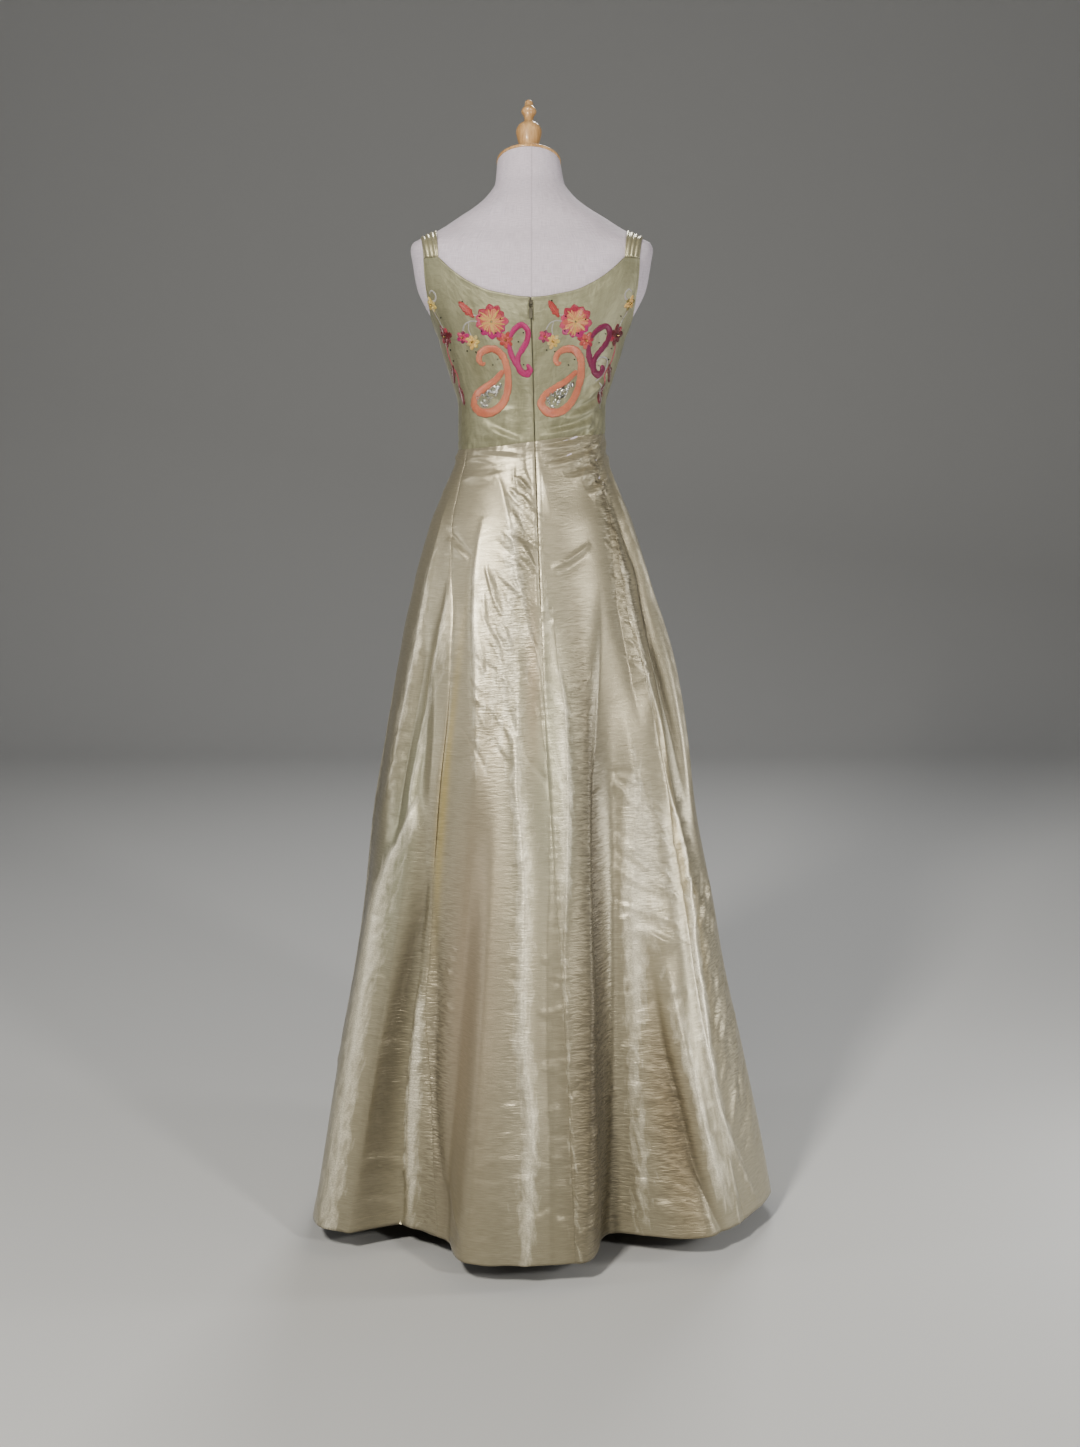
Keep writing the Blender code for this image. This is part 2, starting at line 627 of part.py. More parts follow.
def make_torso(collection, finish):
    """The limbless form: a smooth loft through its sections, up to the leaning neck."""
    levels = []
    for i in range(FORM_ROWS + 1):
        share = i / FORM_ROWS
        levels.append(FORM_BOTTOM + (NECK_TOP - FORM_BOTTOM) * (1.0 - (1.0 - share) ** 1.25))
    points = []
    for level in levels:
        lean = max(0.0, (level - NECK_BEND_HEIGHT) / (NECK_TOP - NECK_BEND_HEIGHT))
        tilt = math.radians(NECK_TILT * lean)
        for k in range(FORM_SIDES):
            angle = 360.0 * k / FORM_SIDES
            point = place_at(form_radius(angle, level), angle, 0.0)
            points.append((NECK_CENTRE[0] * lean + point.x,
                           NECK_CENTRE[1] * lean + point.y * math.cos(tilt),
                           level - point.y * math.sin(tilt)))
    faces = [tuple(reversed(range(FORM_SIDES)))]
    for i in range(FORM_ROWS):
        for k in range(FORM_SIDES):
            after = (k + 1) % FORM_SIDES
            low, high = i * FORM_SIDES, (i + 1) * FORM_SIDES
            faces.append((low + k, low + after, high + after, high + k))
    faces.append(tuple(range(FORM_ROWS * FORM_SIDES, (FORM_ROWS + 1) * FORM_SIDES)))
    mesh = bpy.data.meshes.new("form_torso")
    mesh.from_pydata(points, [], faces)
    mesh.shade_smooth()
    mesh.set_sharp_from_angle(angle=math.radians(40.0))
    return add_object("form_torso", mesh, collection, finish)


def turned(name, profile, collection, finish, sides=24):
    """A turned piece: radius and height pairs from top to bottom, spun about its own axis."""
    mesh = bpy.data.meshes.new(name)
    points = [(radius, 0.0, height) for radius, height in profile]
    mesh.from_pydata(points, [(i, i + 1) for i in range(len(points) - 1)], [])
    piece = add_object(name, mesh, collection, finish)
    screw = piece.modifiers.new("turning", "SCREW")
    screw.steps = sides
    screw.render_steps = sides
    screw.use_merge_vertices = True
    screw.merge_threshold = 0.0001
    return piece


def rounded(profile, per_span=3):
    """A turned profile with a smooth curve through its points."""
    count = len(profile) - 1
    radius = monotone(range(count + 1), [r for r, _ in profile])
    height = monotone(range(count + 1), [h for _, h in profile])
    return [(radius(i / per_span), height(i / per_span)) for i in range(count * per_span + 1)]


def make_neck(collection, finish):
    """The domed wooden cap on the neck, and the turned finial on the cap."""
    tilt = math.radians(NECK_TILT)
    axis = Vector((0.0, math.sin(tilt), math.cos(tilt)))
    neck = Vector((*NECK_CENTRE, NECK_TOP))
    cap_profile = [(0.0, CAP_DOME), (0.016, CAP_DOME), (0.030, 0.0135), (0.040, 0.0090),
                   (0.0460, 0.0060), (CAP_RADIUS, CAP_RIM), (CAP_RADIUS, 0.0008),
                   (CAP_RADIUS - 0.0008, 0.0), (0.0, 0.0)]
    cap = turned("neck_cap", cap_profile, collection, finish, 32)
    cap.rotation_euler = (-tilt, 0.0, 0.0)
    cap.location = neck + axis * SEAM_GAP
    from_tip = ((0.0, 0.0), (0.0045, 0.0015), (0.0062, 0.0050), (0.0068, 0.0100),
                (0.0115, 0.0195), (0.0080, 0.0270), (0.0068, 0.0330), (0.0085, 0.0395),
                (0.0170, 0.0470), (0.0195, 0.0550), (0.0170, 0.0690), (0.0145, 0.0790),
                (0.0155, 0.0860), (0.0155, FINIAL_LENGTH))
    profile = [(r, FINIAL_LENGTH - down) for r, down in rounded(from_tip, 2)]
    finial = turned("finial", profile + [(0.0, 0.0)], collection, finish, 20)
    finial.rotation_euler = (-tilt, 0.0, 0.0)
    finial.location = neck + axis * (SEAM_GAP * 2.0 + CAP_DOME)


def make_stand(collection, metal):
    """The pole up into the form, and the round base plate it stands on."""
    foot = BASE_THICKNESS + SEAM_GAP
    height = FORM_BOTTOM - SEAM_GAP - foot
    bpy.ops.mesh.primitive_cylinder_add(vertices=24, radius=POLE_RADIUS, depth=height)
    pole = bpy.context.object
    pole.name = pole.data.name = "form_pole"
    pole.location = (0.0, 0.0, foot + height / 2.0)
    pole.data.materials.append(metal)
    for owner in pole.users_collection:
        owner.objects.unlink(pole)
    collection.objects.link(pole)
    edge = 0.003
    turned("form_base", [(0.0, BASE_THICKNESS), (BASE_RADIUS - edge, BASE_THICKNESS),
                         (BASE_RADIUS, BASE_THICKNESS - edge), (BASE_RADIUS, 0.0), (0.0, 0.0)],
           collection, metal, 40)


def main():
    for old in list(bpy.data.objects):
        bpy.data.objects.remove(old)
    gown = bpy.data.collections.new("evening_gown_on_form")
    cutters = bpy.data.collections.new("cutters")
    bpy.context.scene.collection.children.link(gown)
    bpy.context.scene.collection.children.link(cutters)

    taffeta = material("taffeta", (0.46, 0.42, 0.28), 0.35, sheen=0.4)
    organza = material("organza", (0.38, 0.38, 0.25), 0.55, sheen=0.3)
    linen = material("linen", (0.62, 0.56, 0.62), 0.85)
    wood = material("wood", (0.68, 0.42, 0.20), 0.35)
    zip_metal = material("zip_metal", (0.30, 0.29, 0.26), 0.35, metallic=1.0)
    stand_metal = material("stand_metal", (0.05, 0.05, 0.05), 0.45, metallic=0.6)

    make_bodice(gown, organza)
    make_strap("strap_left", -1.0, gown, taffeta)
    make_strap("strap_right", 1.0, gown, taffeta)
    make_skirt(gown, taffeta)
    make_zip_tape(gown, taffeta)
    pivot = cloth_point(SEAMS["centre_back"](SLIDER_HEIGHT), SLIDER_HEIGHT, -PIVOT_OUT)
    make_slider(pivot, gown, cutters, zip_metal)
    make_pull(pivot, gown, cutters, zip_metal)
    make_torso(gown, linen)
    make_neck(gown, wood)
    make_stand(gown, stand_metal)


main()
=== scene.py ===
"""Looks of a floor-length evening gown with shoulder straps, on a limbless dress form.

Metres, +Z up; -Y is the gown's back with its zip. Angles round the body are in degrees from the
centre back, growing towards +X, so that the centre front is at 180. The cloth is thin shells over
the same form, ease, flare and folds as the solids that they stand for; creases, crinkles, seams
and hems are raised and sunk on top of that. Stitches, zip teeth and beads are made by Geometry
Nodes, and the embroidery is raised threadwork laid on the bodice.
"""
import math
from collections import namedtuple

import bpy
import numpy as np
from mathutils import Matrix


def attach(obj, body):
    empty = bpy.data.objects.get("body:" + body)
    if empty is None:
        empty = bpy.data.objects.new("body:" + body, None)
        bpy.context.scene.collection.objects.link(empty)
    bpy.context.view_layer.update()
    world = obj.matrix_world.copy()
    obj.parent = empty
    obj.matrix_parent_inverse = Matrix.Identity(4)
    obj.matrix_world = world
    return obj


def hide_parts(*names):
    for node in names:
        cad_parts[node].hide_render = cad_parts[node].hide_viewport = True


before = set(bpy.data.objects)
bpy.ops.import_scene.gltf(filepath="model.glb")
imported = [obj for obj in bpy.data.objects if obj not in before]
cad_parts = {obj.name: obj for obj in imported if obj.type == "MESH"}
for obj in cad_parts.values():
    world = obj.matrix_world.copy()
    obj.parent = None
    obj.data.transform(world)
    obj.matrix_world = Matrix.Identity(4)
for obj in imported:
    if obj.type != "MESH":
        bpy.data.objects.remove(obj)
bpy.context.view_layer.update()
GOWN = "gown_and_form"


def records(kind, rows, in_mm=""):
    """A table's rows as records; the columns named in in_mm are written in millimetres."""
    small = in_mm.split()
    return tuple(kind(*(round(value / 1000.0, 7) if field in small else value
                        for field, value in zip(kind._fields, row))) for row in rows)


# --------------------------------------------------------------------------- sizes of the solids
WAIST_HEIGHT, WAIST_TILT = 1.208, 0.012
HEM_HEIGHT = 0.035
NECKLINE_HEIGHT = 1.418
CLOTH, EASE, SEAM_GAP = 0.0014, 0.0026, 0.0003
SIDE_SEAM_ANGLE = 88.0
ZIP_TOP, ZIP_BOTTOM = 1.411, 0.965
HIP_HEIGHT = 1.000         # below it the cloth follows the form as it is there
FORM_BOTTOM, NECK_TOP, NECK_TILT = 0.920, 1.623, 24.0
NECK_CENTRE, NECK_BEND_HEIGHT = (-0.0045, 0.010), 1.530
CAP_RADIUS, CAP_RIM, CAP_DOME = 0.0485, 0.0045, 0.018
FINIAL_LENGTH = 0.0910
POLE_RADIUS, BASE_RADIUS, BASE_THICKNESS = 0.0125, 0.150, 0.012

FormSection = namedtuple("FormSection", "height half_width back front squareness")
FORM_SECTIONS = records(FormSection, (
    (0.92, 0.144, 0.096, 0.094, 2.2),
    (0.945, 0.156, 0.106, 0.101, 2.2),
    (1, 0.16, 0.116, 0.105, 2.2),
    (1.08, 0.148, 0.108, 0.103, 2.2),
    (1.14, 0.1275, 0.094, 0.096, 2.2),
    (1.2, 0.1085, 0.083, 0.088, 2.2),
    (1.26, 0.1085, 0.085, 0.095, 2.2),
    (1.3, 0.119, 0.09, 0.106, 2.2),
    (1.34, 0.132, 0.097, 0.116, 2.2),
    (1.367, 0.1395, 0.101, 0.12, 2.2),
    (1.385, 0.1475, 0.1035, 0.118, 2.2),
    (1.403, 0.158, 0.105, 0.114, 2.2),
    (1.437, 0.1735, 0.106, 0.103, 2.25),
    (1.477, 0.1805, 0.103, 0.09, 2.3),
    (1.494, 0.183, 0.098, 0.08, 2.3),
    (1.503, 0.1805, 0.093, 0.072, 2.3),
    (1.512, 0.163, 0.088, 0.065, 2.3),
    (1.522, 0.142, 0.083, 0.058, 2.25),
    (1.538, 0.1155, 0.077, 0.05, 2.2),
    (1.558, 0.082, 0.067, 0.045, 2.1),
    (1.572, 0.066, 0.058, 0.044, 2),
    (1.591, 0.0525, 0.049, 0.045, 2),
    (1.623, 0.0475, 0.0475, 0.0475, 2),
))
BUST_ANGLE, BUST_HEIGHT, BUST_FULLNESS = 154.0, 1.345, 0.010
BUST_SPREAD_ANGLE, BUST_SPREAD_HEIGHT = 17.0, 0.042

FlareSection = namedtuple("FlareSection", "height left right back front")
FLARE_SECTIONS = records(FlareSection, (
    (0.035, 0.175, 0.214, 0.236, 0.216),
    (0.088, 0.163, 0.204, 0.225, 0.205),
    (0.261, 0.137, 0.168, 0.184, 0.166),
    (0.401, 0.11, 0.137, 0.151, 0.135),
    (0.498, 0.095, 0.12, 0.128, 0.114),
    (0.635, 0.08, 0.092, 0.096, 0.084),
    (0.761, 0.06, 0.075, 0.066, 0.057),
    (0.873, 0.042, 0.054, 0.04, 0.034),
    (0.93, 0.032, 0.038, 0.027, 0.022),
    (0.98, 0.021, 0.022, 0.015, 0.012),
    (1.04, 0.01, 0.009, 0.005, 0.004),
    (1.13, 0.002, 0.001, 0.001, 0.001),
    (1.18, 0, 0, 0, 0),
    (1.23, 0, 0, 0, 0),
))

Fold = namedtuple("Fold", "name top_angle hem_angle out start")
FOLDS = records(Fold, (
    ("front_left_ridge", -160, -162, 0.014, 0.86),
    ("front_left_valley", -143, -143, -0.055, 0.92),
    ("side_left_ridge", -124, -121, 0.014, 0.86),
    ("side_left_valley", -102, -100, -0.026, 0.74),
    ("left_silhouette", -86, -80, 0, 0.9),
    ("left_lobe", -68, -57, 0.04, 0.96),
    ("left_lobe_edge", -52, -49, 0.022, 0.74),
    ("left_tuck", -43, -43.5, -0.062, 0.72),
    ("left_hollow", -34, -36, -0.065, 0.78),
    ("left_foot", -24, -27.5, -0.06, 0.72),
    ("centre_lobe_left", -13, -14.5, 0.008, 0.72),
    ("centre_lobe", 4, -2, 0.003, 0.9),
    ("centre_lobe_right", 29, 11.5, 0, 0.98),
    ("right_tuck", 45, 26, -0.091, 0.98),
    ("right_lobe", 62, 48, 0.004, 0.96),
    ("right_shoulder", 72, 61, 0.001, 0.9),
    ("right_silhouette", 84, 78, 0.007, 0.9),
    ("side_right_valley", 104, 101, -0.028, 0.74),
    ("side_right_ridge", 122, 120, 0.012, 0.84),
    ("front_right_valley", 141, 142, -0.052, 0.92),
    ("front_right_ridge", 160, 162, 0.012, 0.86),
    ("front_centre_valley", 180, 181, -0.04, 0.84),
))
FOLD_GROWTH = 1.2

Tuck = namedtuple("Tuck", "name top_angle bottom_angle top bottom depth half_angle")
TUCKS = records(Tuck, (
    ("right_hip_tuck", 69, 69, 1.02, 0.5, 0.016, 8),
    ("left_hip_tuck", -58, -47, 0.96, 0.56, 0.008, 7),
    ("front_hip_tuck", 125, 128, 0.98, 0.52, 0.01, 8),
))

SeamRow = namedtuple("SeamRow", "height side_back_left centre_back side_back_right "
                                "side_front_right side_front_left")
SEAM_ROWS = records(SeamRow, (
    (0.035, -29, 10.2, 60, 132, 225),
    (0.28, -37, 10, 56, 132, 226),
    (0.4, -40, 9.6, 56.5, 131, 227),
    (0.6, -40, 8.3, 59, 130, 228),
    (0.78, -40.5, 6.6, 58, 129, 229),
    (0.94, -44, 5.8, 55, 128, 230),
    (1.04, -52, 4.9, 57, 128, 231),
    (1.13, -60, 4.2, 61, 128, 232),
    (1.22, -65, 2.9, 68, 128, 232),
    (1.418, -65, -0.8, 68, 128, 232),
))

# Each gore lies between two seams; rows and column give the mesh of its cloth
Gore = namedtuple("Gore", "name first_seam last_seam lap rows column")
GORES = records(Gore, (
    ("skirt_back_left", "side_back_left", "centre_back", 0, 360, 0.0032),
    ("skirt_back_right", "centre_back", "side_back_right", 0, 360, 0.0032),
    ("skirt_side_right", "side_back_right", "side_front_right", 0, 280, 0.0042),
    ("skirt_front", "side_front_right", "side_front_left", 0, 240, 0.0062),
    ("skirt_side_left", "side_front_left", "side_back_left", 360, 280, 0.005),
))
ROW_CROWDING = 1.3         # how much closer the rows lie at the waist than at the hem

BACK_NECKLINE = ((0.000, 1.418), (0.018, 1.419), (0.035, 1.422), (0.065, 1.4285),
                 (0.092, 1.441), (0.111, 1.4535), (0.127, 1.467), (0.138, 1.478))
BACK_ARMHOLE = ((0.1605, 1.478), (0.1595, 1.455), (0.1570, 1.430), (0.1530, 1.402))
SIDE_TOP_HEIGHT = 1.374
FRONT_ARMHOLE = ((0.1480, 1.400), (0.1450, 1.425), (0.1470, 1.448), (0.1500, 1.470))
FRONT_NECKLINE = ((0.1275, 1.470), (0.119, 1.450), (0.104, 1.428), (0.082, 1.410),
                  (0.055, 1.399), (0.028, 1.394), (0, 1.392))

StrapRow = namedtuple("StrapRow", "share inner outer")
STRAP_ROWS = records(StrapRow, (
    (0, 0.138, 0.1605),
    (0.45, 0.144, 0.168),
    (0.6, 0.144, 0.167),
    (1, 0.1275, 0.15),
))
STRAP_PIVOT, STRAP_EASE = (0.000, 1.440), 0.0014

# ------------------------------------------------------------------------ sizes of the fine form
WEAVE = 0.0010             # wall of the fine cloth, inwards from the outside of each solid
SEWN_GAP = 0.00005         # between two pieces along their seam
ZIP_SLIT = 0.0011          # and where they part over the zip
EDGE_INSETS = (0.0, 0.0006, 0.0014, 0.0026, 0.0045)    # from an edge, where the mesh is closer
SEAM_DIP, SEAM_REACH = 0.0005, 0.0020      # how deep a seam sinks, and how far from it
PUCKER, PUCKER_PITCH, PUCKER_REACH = 0.00014, 0.017, 0.012
HEM_DEPTH, HEM_LIFT = 0.019, 0.0009        # the turned-up hem, and its extra thickness
HEM_STITCH_WIDTH, HEM_STITCH_DEPTH = 0.0022, 0.0006
PLACKET_HALF, PLACKET_LIFT = 0.0075, 0.0004    # the strip raised by the zip's tape
PLACKET_SOFTNESS, PLACKET_STITCH_WIDTH, PLACKET_STITCH_DEPTH = 0.0028, 0.0012, 0.00012
GATHER_PITCH, GATHER_REACH, GATHER_LIFT = 0.014, 0.010, 0.0004     # below the waist seam
RIM, RIM_LIFT = 0.0045, 0.0006             # the faced edge round the neck and the armholes
RIM_WALL, RIM_ROUND, RIM_ROUND_REACH = 0.0007, 0.0005, 0.0007      # its extra thickness and fall
WAIST_RADIUS = 0.11                        # by which the gathers are spread round the waist

# The long folds pressed into the cloth, each as bends from its top down. Out is the height of a
# ridge, or the depth of a valley where it is negative; left and right are the widths of its two
# flanks, left being the one towards smaller angles. These three are written in millimetres.
# Each fold's out also paints the silk: lighter along a ridge as painted highlight, darker in a valley as
# painted shade
Bend = namedtuple("Bend", "height angle out left right")
LONG_CREASES = {name: records(Bend, bends, in_mm="out left right") for name, bends in {
    "dart": (
        (1.175, -35, 0, 10, 5), (1.134, -24, 2.4, 12, 5), (1.072, -14.5, 3.2, 16, 5),
        (1, -8, 3.4, 18, 6), (0.93, -1, 3.4, 16, 6), (0.862, 4.5, 3, 12, 6),
        (0.8, 4, 0, 10, 6)),
    "bright_wedge": (
        (1.105, -35.5, 0, 4, 10), (1.05, -36.5, 3, 5, 14), (0.98, -34.5, 4.9, 6, 20),
        (0.9, -30.5, 5.3, 7, 24), (0.82, -27, 4.1, 8, 24), (0.73, -24.5, 2, 10, 22),
        (0.64, -23, 0, 10, 20)),
    "left_kite": (
        (1.015, -51.5, 0, 4, 6), (0.96, -50.2, 3.8, 5, 11), (0.9, -50.4, 5.6, 6, 18),
        (0.84, -53.2, 5.2, 6, 18), (0.76, -55, 5.4, 6, 14), (0.69, -54.4, 5.2, 6, 14),
        (0.645, -52.2, 3.6, 8, 12), (0.6, -50, 0, 10, 12)),
    "kite_shade": (
        (0.9, -57.5, 0, 8, 7), (0.82, -58.8, -5, 10, 8), (0.72, -58.6, -6.4, 12, 9),
        (0.64, -57.4, -4, 12, 10), (0.59, -56, 0, 10, 10)),
    "left_hip_band": (
        (1.13, -68, 0, 6, 8), (1.06, -65, 3.6, 9, 8), (0.98, -64.4, 5.8, 12, 8),
        (0.88, -63, 6.6, 16, 9), (0.78, -64.4, 6, 16, 10), (0.7, -65, 4, 14, 10),
        (0.62, -66.5, 0, 12, 10)),
    "left_lobe_crest": (
        (0.68, -50.5, 0, 6, 12), (0.64, -53, 5.7, 8, 16), (0.58, -57.5, 7.7, 14, 22),
        (0.5, -60.5, 8, 22, 28), (0.38, -58.6, 8, 26, 32), (0.24, -56.4, 7.7, 26, 32),
        (0.11, -54.8, 7, 26, 30), (0.03, -54, 6.3, 26, 30)),
    "left_valley": (
        (0.58, -42.5, 0, 12, 8), (0.52, -44, -7, 14, 7), (0.45, -46, -11.2, 16, 7),
        (0.36, -46.9, -13.7, 18, 8), (0.23, -47.2, -13.7, 18, 9), (0.12, -47.2, -10, 18, 10),
        (0.03, -46.7, -6.3, 18, 12)),
    "small_lobe": (
        (0.43, -41.8, 0, 8, 12), (0.35, -42.6, 7.2, 9, 14), (0.24, -42.6, 8.9, 10, 16),
        (0.14, -41.5, 7.2, 12, 18), (0.03, -39.5, 3.6, 14, 20)),
    "left_groove": (
        (0.56, -40, 0, 8, 12), (0.48, -38, -4.4, 10, 12), (0.38, -36.2, -6.8, 10, 14),
        (0.26, -34.8, -7.4, 10, 16), (0.17, -31.5, -7, 10, 18), (0.09, -26.5, -5.6, 12, 20),
        (0.03, -24, -4.4, 14, 20)),
    "centre_band": (
        (0.92, -7.5, 0, 10, 10), (0.82, -6.4, 3.7, 11, 10), (0.72, -6.4, 5.3, 12, 10),
        (0.64, -4, 6.1, 13, 11), (0.54, -2.4, 6.6, 13, 12), (0.43, -2.6, 6.9, 14, 12),
        (0.33, -2, 6.9, 14, 12), (0.22, 0, 6.9, 15, 13), (0.12, -0.6, 6.3, 16, 13),
        (0.03, -1.4, 5, 18, 14)),
    "seam_facet": (
        (0.96, 12.4, 0, 10, 8), (0.89, 13.8, 3, 14, 8), (0.81, 16, 5.2, 20, 9),
        (0.71, 15, 6.6, 22, 10), (0.61, 13.2, 6.2, 18, 10), (0.53, 11.7, 5, 13, 10),
        (0.46, 10.4, 3.4, 9, 10), (0.3, 10.4, 2.8, 7, 9), (0.16, 11, 3, 7, 9),
        (0.03, 11, 2.6, 7, 10)),
    "seam_hollow": (
        (0.92, 4, 0, 8, 4), (0.83, 4.4, -2.2, 10, 4), (0.7, 7.2, -2.6, 10, 5),
        (0.6, 7, -1.8, 10, 6), (0.48, 5.4, -1.2, 8, 4), (0.3, 4.6, -1.4, 6, 3),
        (0.16, 4.8, -1.6, 6, 3), (0.03, 4.6, -1.2, 8, 4)),
    "slope_edge": (
        (1, 43, 0, 12, 16), (0.9, 38, -4, 12, 24), (0.78, 32, -8, 14, 30),
        (0.65, 26.8, -12, 15, 34), (0.52, 24.6, -13, 16, 34), (0.4, 23.6, -11, 16, 34),
        (0.26, 21.8, -8, 14, 30), (0.1, 21.6, -6, 12, 22), (0.03, 21.6, -4, 12, 18)),
    "right_lobe_band": (
        (0.82, 46, 0, 18, 14), (0.7, 46.5, 5.7, 24, 14), (0.6, 43.5, 7.4, 26, 13),
        (0.5, 40.5, 7.6, 24, 12), (0.4, 39.2, 7.4, 20, 12), (0.3, 37.6, 6.7, 18, 12),
        (0.18, 36, 5.7, 18, 12), (0.08, 34.6, 4.1, 18, 14), (0.03, 34, 2.8, 18, 16)),
    "right_sharp_valley": (
        (0.48, 44, 0, 8, 7), (0.4, 44.2, -6, 12, 6), (0.32, 44, -10.1, 16, 6),
        (0.24, 44.8, -11.5, 18, 7), (0.16, 45.6, -11.3, 20, 7), (0.09, 47.8, -8.9, 20, 8),
        (0.03, 51, -4.1, 16, 9)),
    "right_facet": (
        (0.44, 48, 0, 10, 14), (0.34, 48.4, 5.2, 12, 14), (0.22, 48.8, 6, 12, 14),
        (0.12, 51, 3.9, 12, 14), (0.05, 54, 0, 12, 14)),
    "right_long_ridge": (
        (0.76, 58, 0, 8, 10), (0.68, 59.5, 4, 9, 12), (0.61, 63.4, 6, 10, 14),
        (0.54, 61.8, 6.6, 11, 16), (0.45, 58.8, 7, 12, 18), (0.36, 57.8, 7, 12, 18),
        (0.28, 56, 6.4, 12, 18), (0.21, 56.4, 5.2, 10, 16), (0.14, 60.2, 4.4, 10, 14),
        (0.07, 65.5, 2.6, 10, 14), (0.03, 69, 0, 10, 14)),
    "right_foot_line": (
        (0.23, 57, 0, 5, 6), (0.15, 57.2, 3, 6, 8), (0.08, 57.2, 3, 6, 8),
        (0.03, 57, 2, 6, 8)),
    "right_silhouette": (
        (1.185, 78.5, 0, 6, 10), (1.145, 75, 3.6, 7, 10), (1.09, 72.6, 5.6, 8, 12),
        (1.03, 74.6, 6, 9, 14), (0.95, 79, 6, 10, 16), (0.85, 80.5, 5.6, 12, 18),
        (0.74, 80, 4, 12, 18), (0.62, 78, 0, 12, 18)),
    "right_hip_shade": (
        (1.13, 65, 0, 8, 7), (1.08, 66.2, -6.2, 9, 7), (0.99, 70.4, -9.2, 10, 7),
        (0.91, 69.6, -9.8, 12, 7), (0.84, 71.4, -8.8, 13, 8), (0.74, 73.4, -6.2, 14, 9),
        (0.64, 74, 0, 14, 12)),
    "right_hip_line": (
        (1.1, 57.8, 0, 6, 8), (1.04, 57.8, 4.4, 7, 9), (0.96, 57.2, 5.8, 8, 10),
        (0.87, 57, 5.6, 9, 10), (0.79, 60, 3, 10, 12), (0.72, 63, 0, 10, 12)),
    "right_waist_hollow": (
        (1.19, 64, 0, 8, 6), (1.12, 58, -2.4, 10, 5), (1.03, 53.4, -3.6, 12, 5),
        (0.94, 50.6, -3.6, 12, 6), (0.86, 51, -3, 12, 8), (0.78, 52, 0, 12, 10)),
    "front_left_ridge": (
        (1.08, 205, 0, 10, 12), (0.96, 207, 4.4, 14, 10), (0.8, 210, 6.4, 20, 10),
        (0.62, 211, 5, 20, 12), (0.44, 209, 0, 20, 16)),
    "front_left_valley": (
        (0.78, 219, 0, 10, 14), (0.64, 218, -5, 9, 16), (0.44, 217.4, -9, 8, 18),
        (0.24, 217, -10, 8, 20), (0.03, 217, -6, 10, 20)),
    "front_left_lobe": (
        (0.6, 201, 0, 20, 18), (0.44, 200, 5.4, 24, 20), (0.22, 198.6, 6.4, 26, 22),
        (0.03, 198, 5, 26, 24)),
    "front_centre_ridge": (
        (1.07, 176, 0, 8, 10), (0.96, 177, 3.6, 10, 14), (0.78, 180.4, 5.2, 11, 18),
        (0.62, 183.6, 4, 12, 20), (0.48, 186, 0, 14, 20)),
    "front_centre_valley": (
        (0.66, 181, 0, 12, 10), (0.5, 180.6, -5.6, 16, 9), (0.28, 181.4, -8.4, 18, 8),
        (0.03, 181, -5.6, 18, 10)),
    "front_right_ridge": (
        (1.1, 158, 0, 10, 10), (0.98, 156, 4.4, 10, 15), (0.82, 152.6, 6.2, 10, 20),
        (0.68, 150.2, 4, 12, 20), (0.56, 149, 0, 14, 18)),
    "front_right_valley": (
        (0.7, 141.5, 0, 14, 10), (0.54, 142, -6, 16, 8), (0.32, 142.6, -9.6, 18, 8),
        (0.03, 142.4, -6, 20, 10)),
    "front_right_lobe": (
        (0.62, 161, 0, 18, 20), (0.42, 162.4, 5.6, 20, 24), (0.2, 163.8, 6.2, 22, 26),
        (0.03, 164, 4.8, 24, 26)),
    "side_right_ridge": (
        (1.04, 112, 0, 10, 12), (0.9, 114, 5.6, 12, 18), (0.72, 117.6, 6, 14, 20),
        (0.54, 120, 5.6, 18, 22), (0.3, 120.6, 5.6, 22, 22), (0.03, 121, 4.6, 24, 24)),
    "side_right_valley": (
        (0.64, 100, 0, 12, 12), (0.48, 100.4, -5.6, 16, 9), (0.26, 101, -8.4, 18, 8),
        (0.03, 101, -5.6, 18, 10)),
    "side_left_ridge": (
        (1.05, 250, 0, 12, 10), (0.92, 247.6, 5.4, 18, 11), (0.74, 243, 6, 20, 13),
        (0.54, 239.6, 5.6, 22, 18), (0.3, 239, 5.6, 22, 22), (0.03, 239, 4.6, 24, 24)),
    "side_left_valley": (
        (0.62, 259, 0, 12, 12), (0.46, 259.4, -5.6, 9, 16), (0.25, 260, -8.4, 8, 18),
        (0.03, 260, -5.6, 10, 18)),
    "side_left_edge": (
        (0.9, 276, 0, 14, 12), (0.76, 277, 4.8, 18, 14), (0.56, 279, 5.6, 20, 18),
        (0.3, 281, 5, 22, 20), (0.03, 282, 4, 24, 22)),
}.items()}

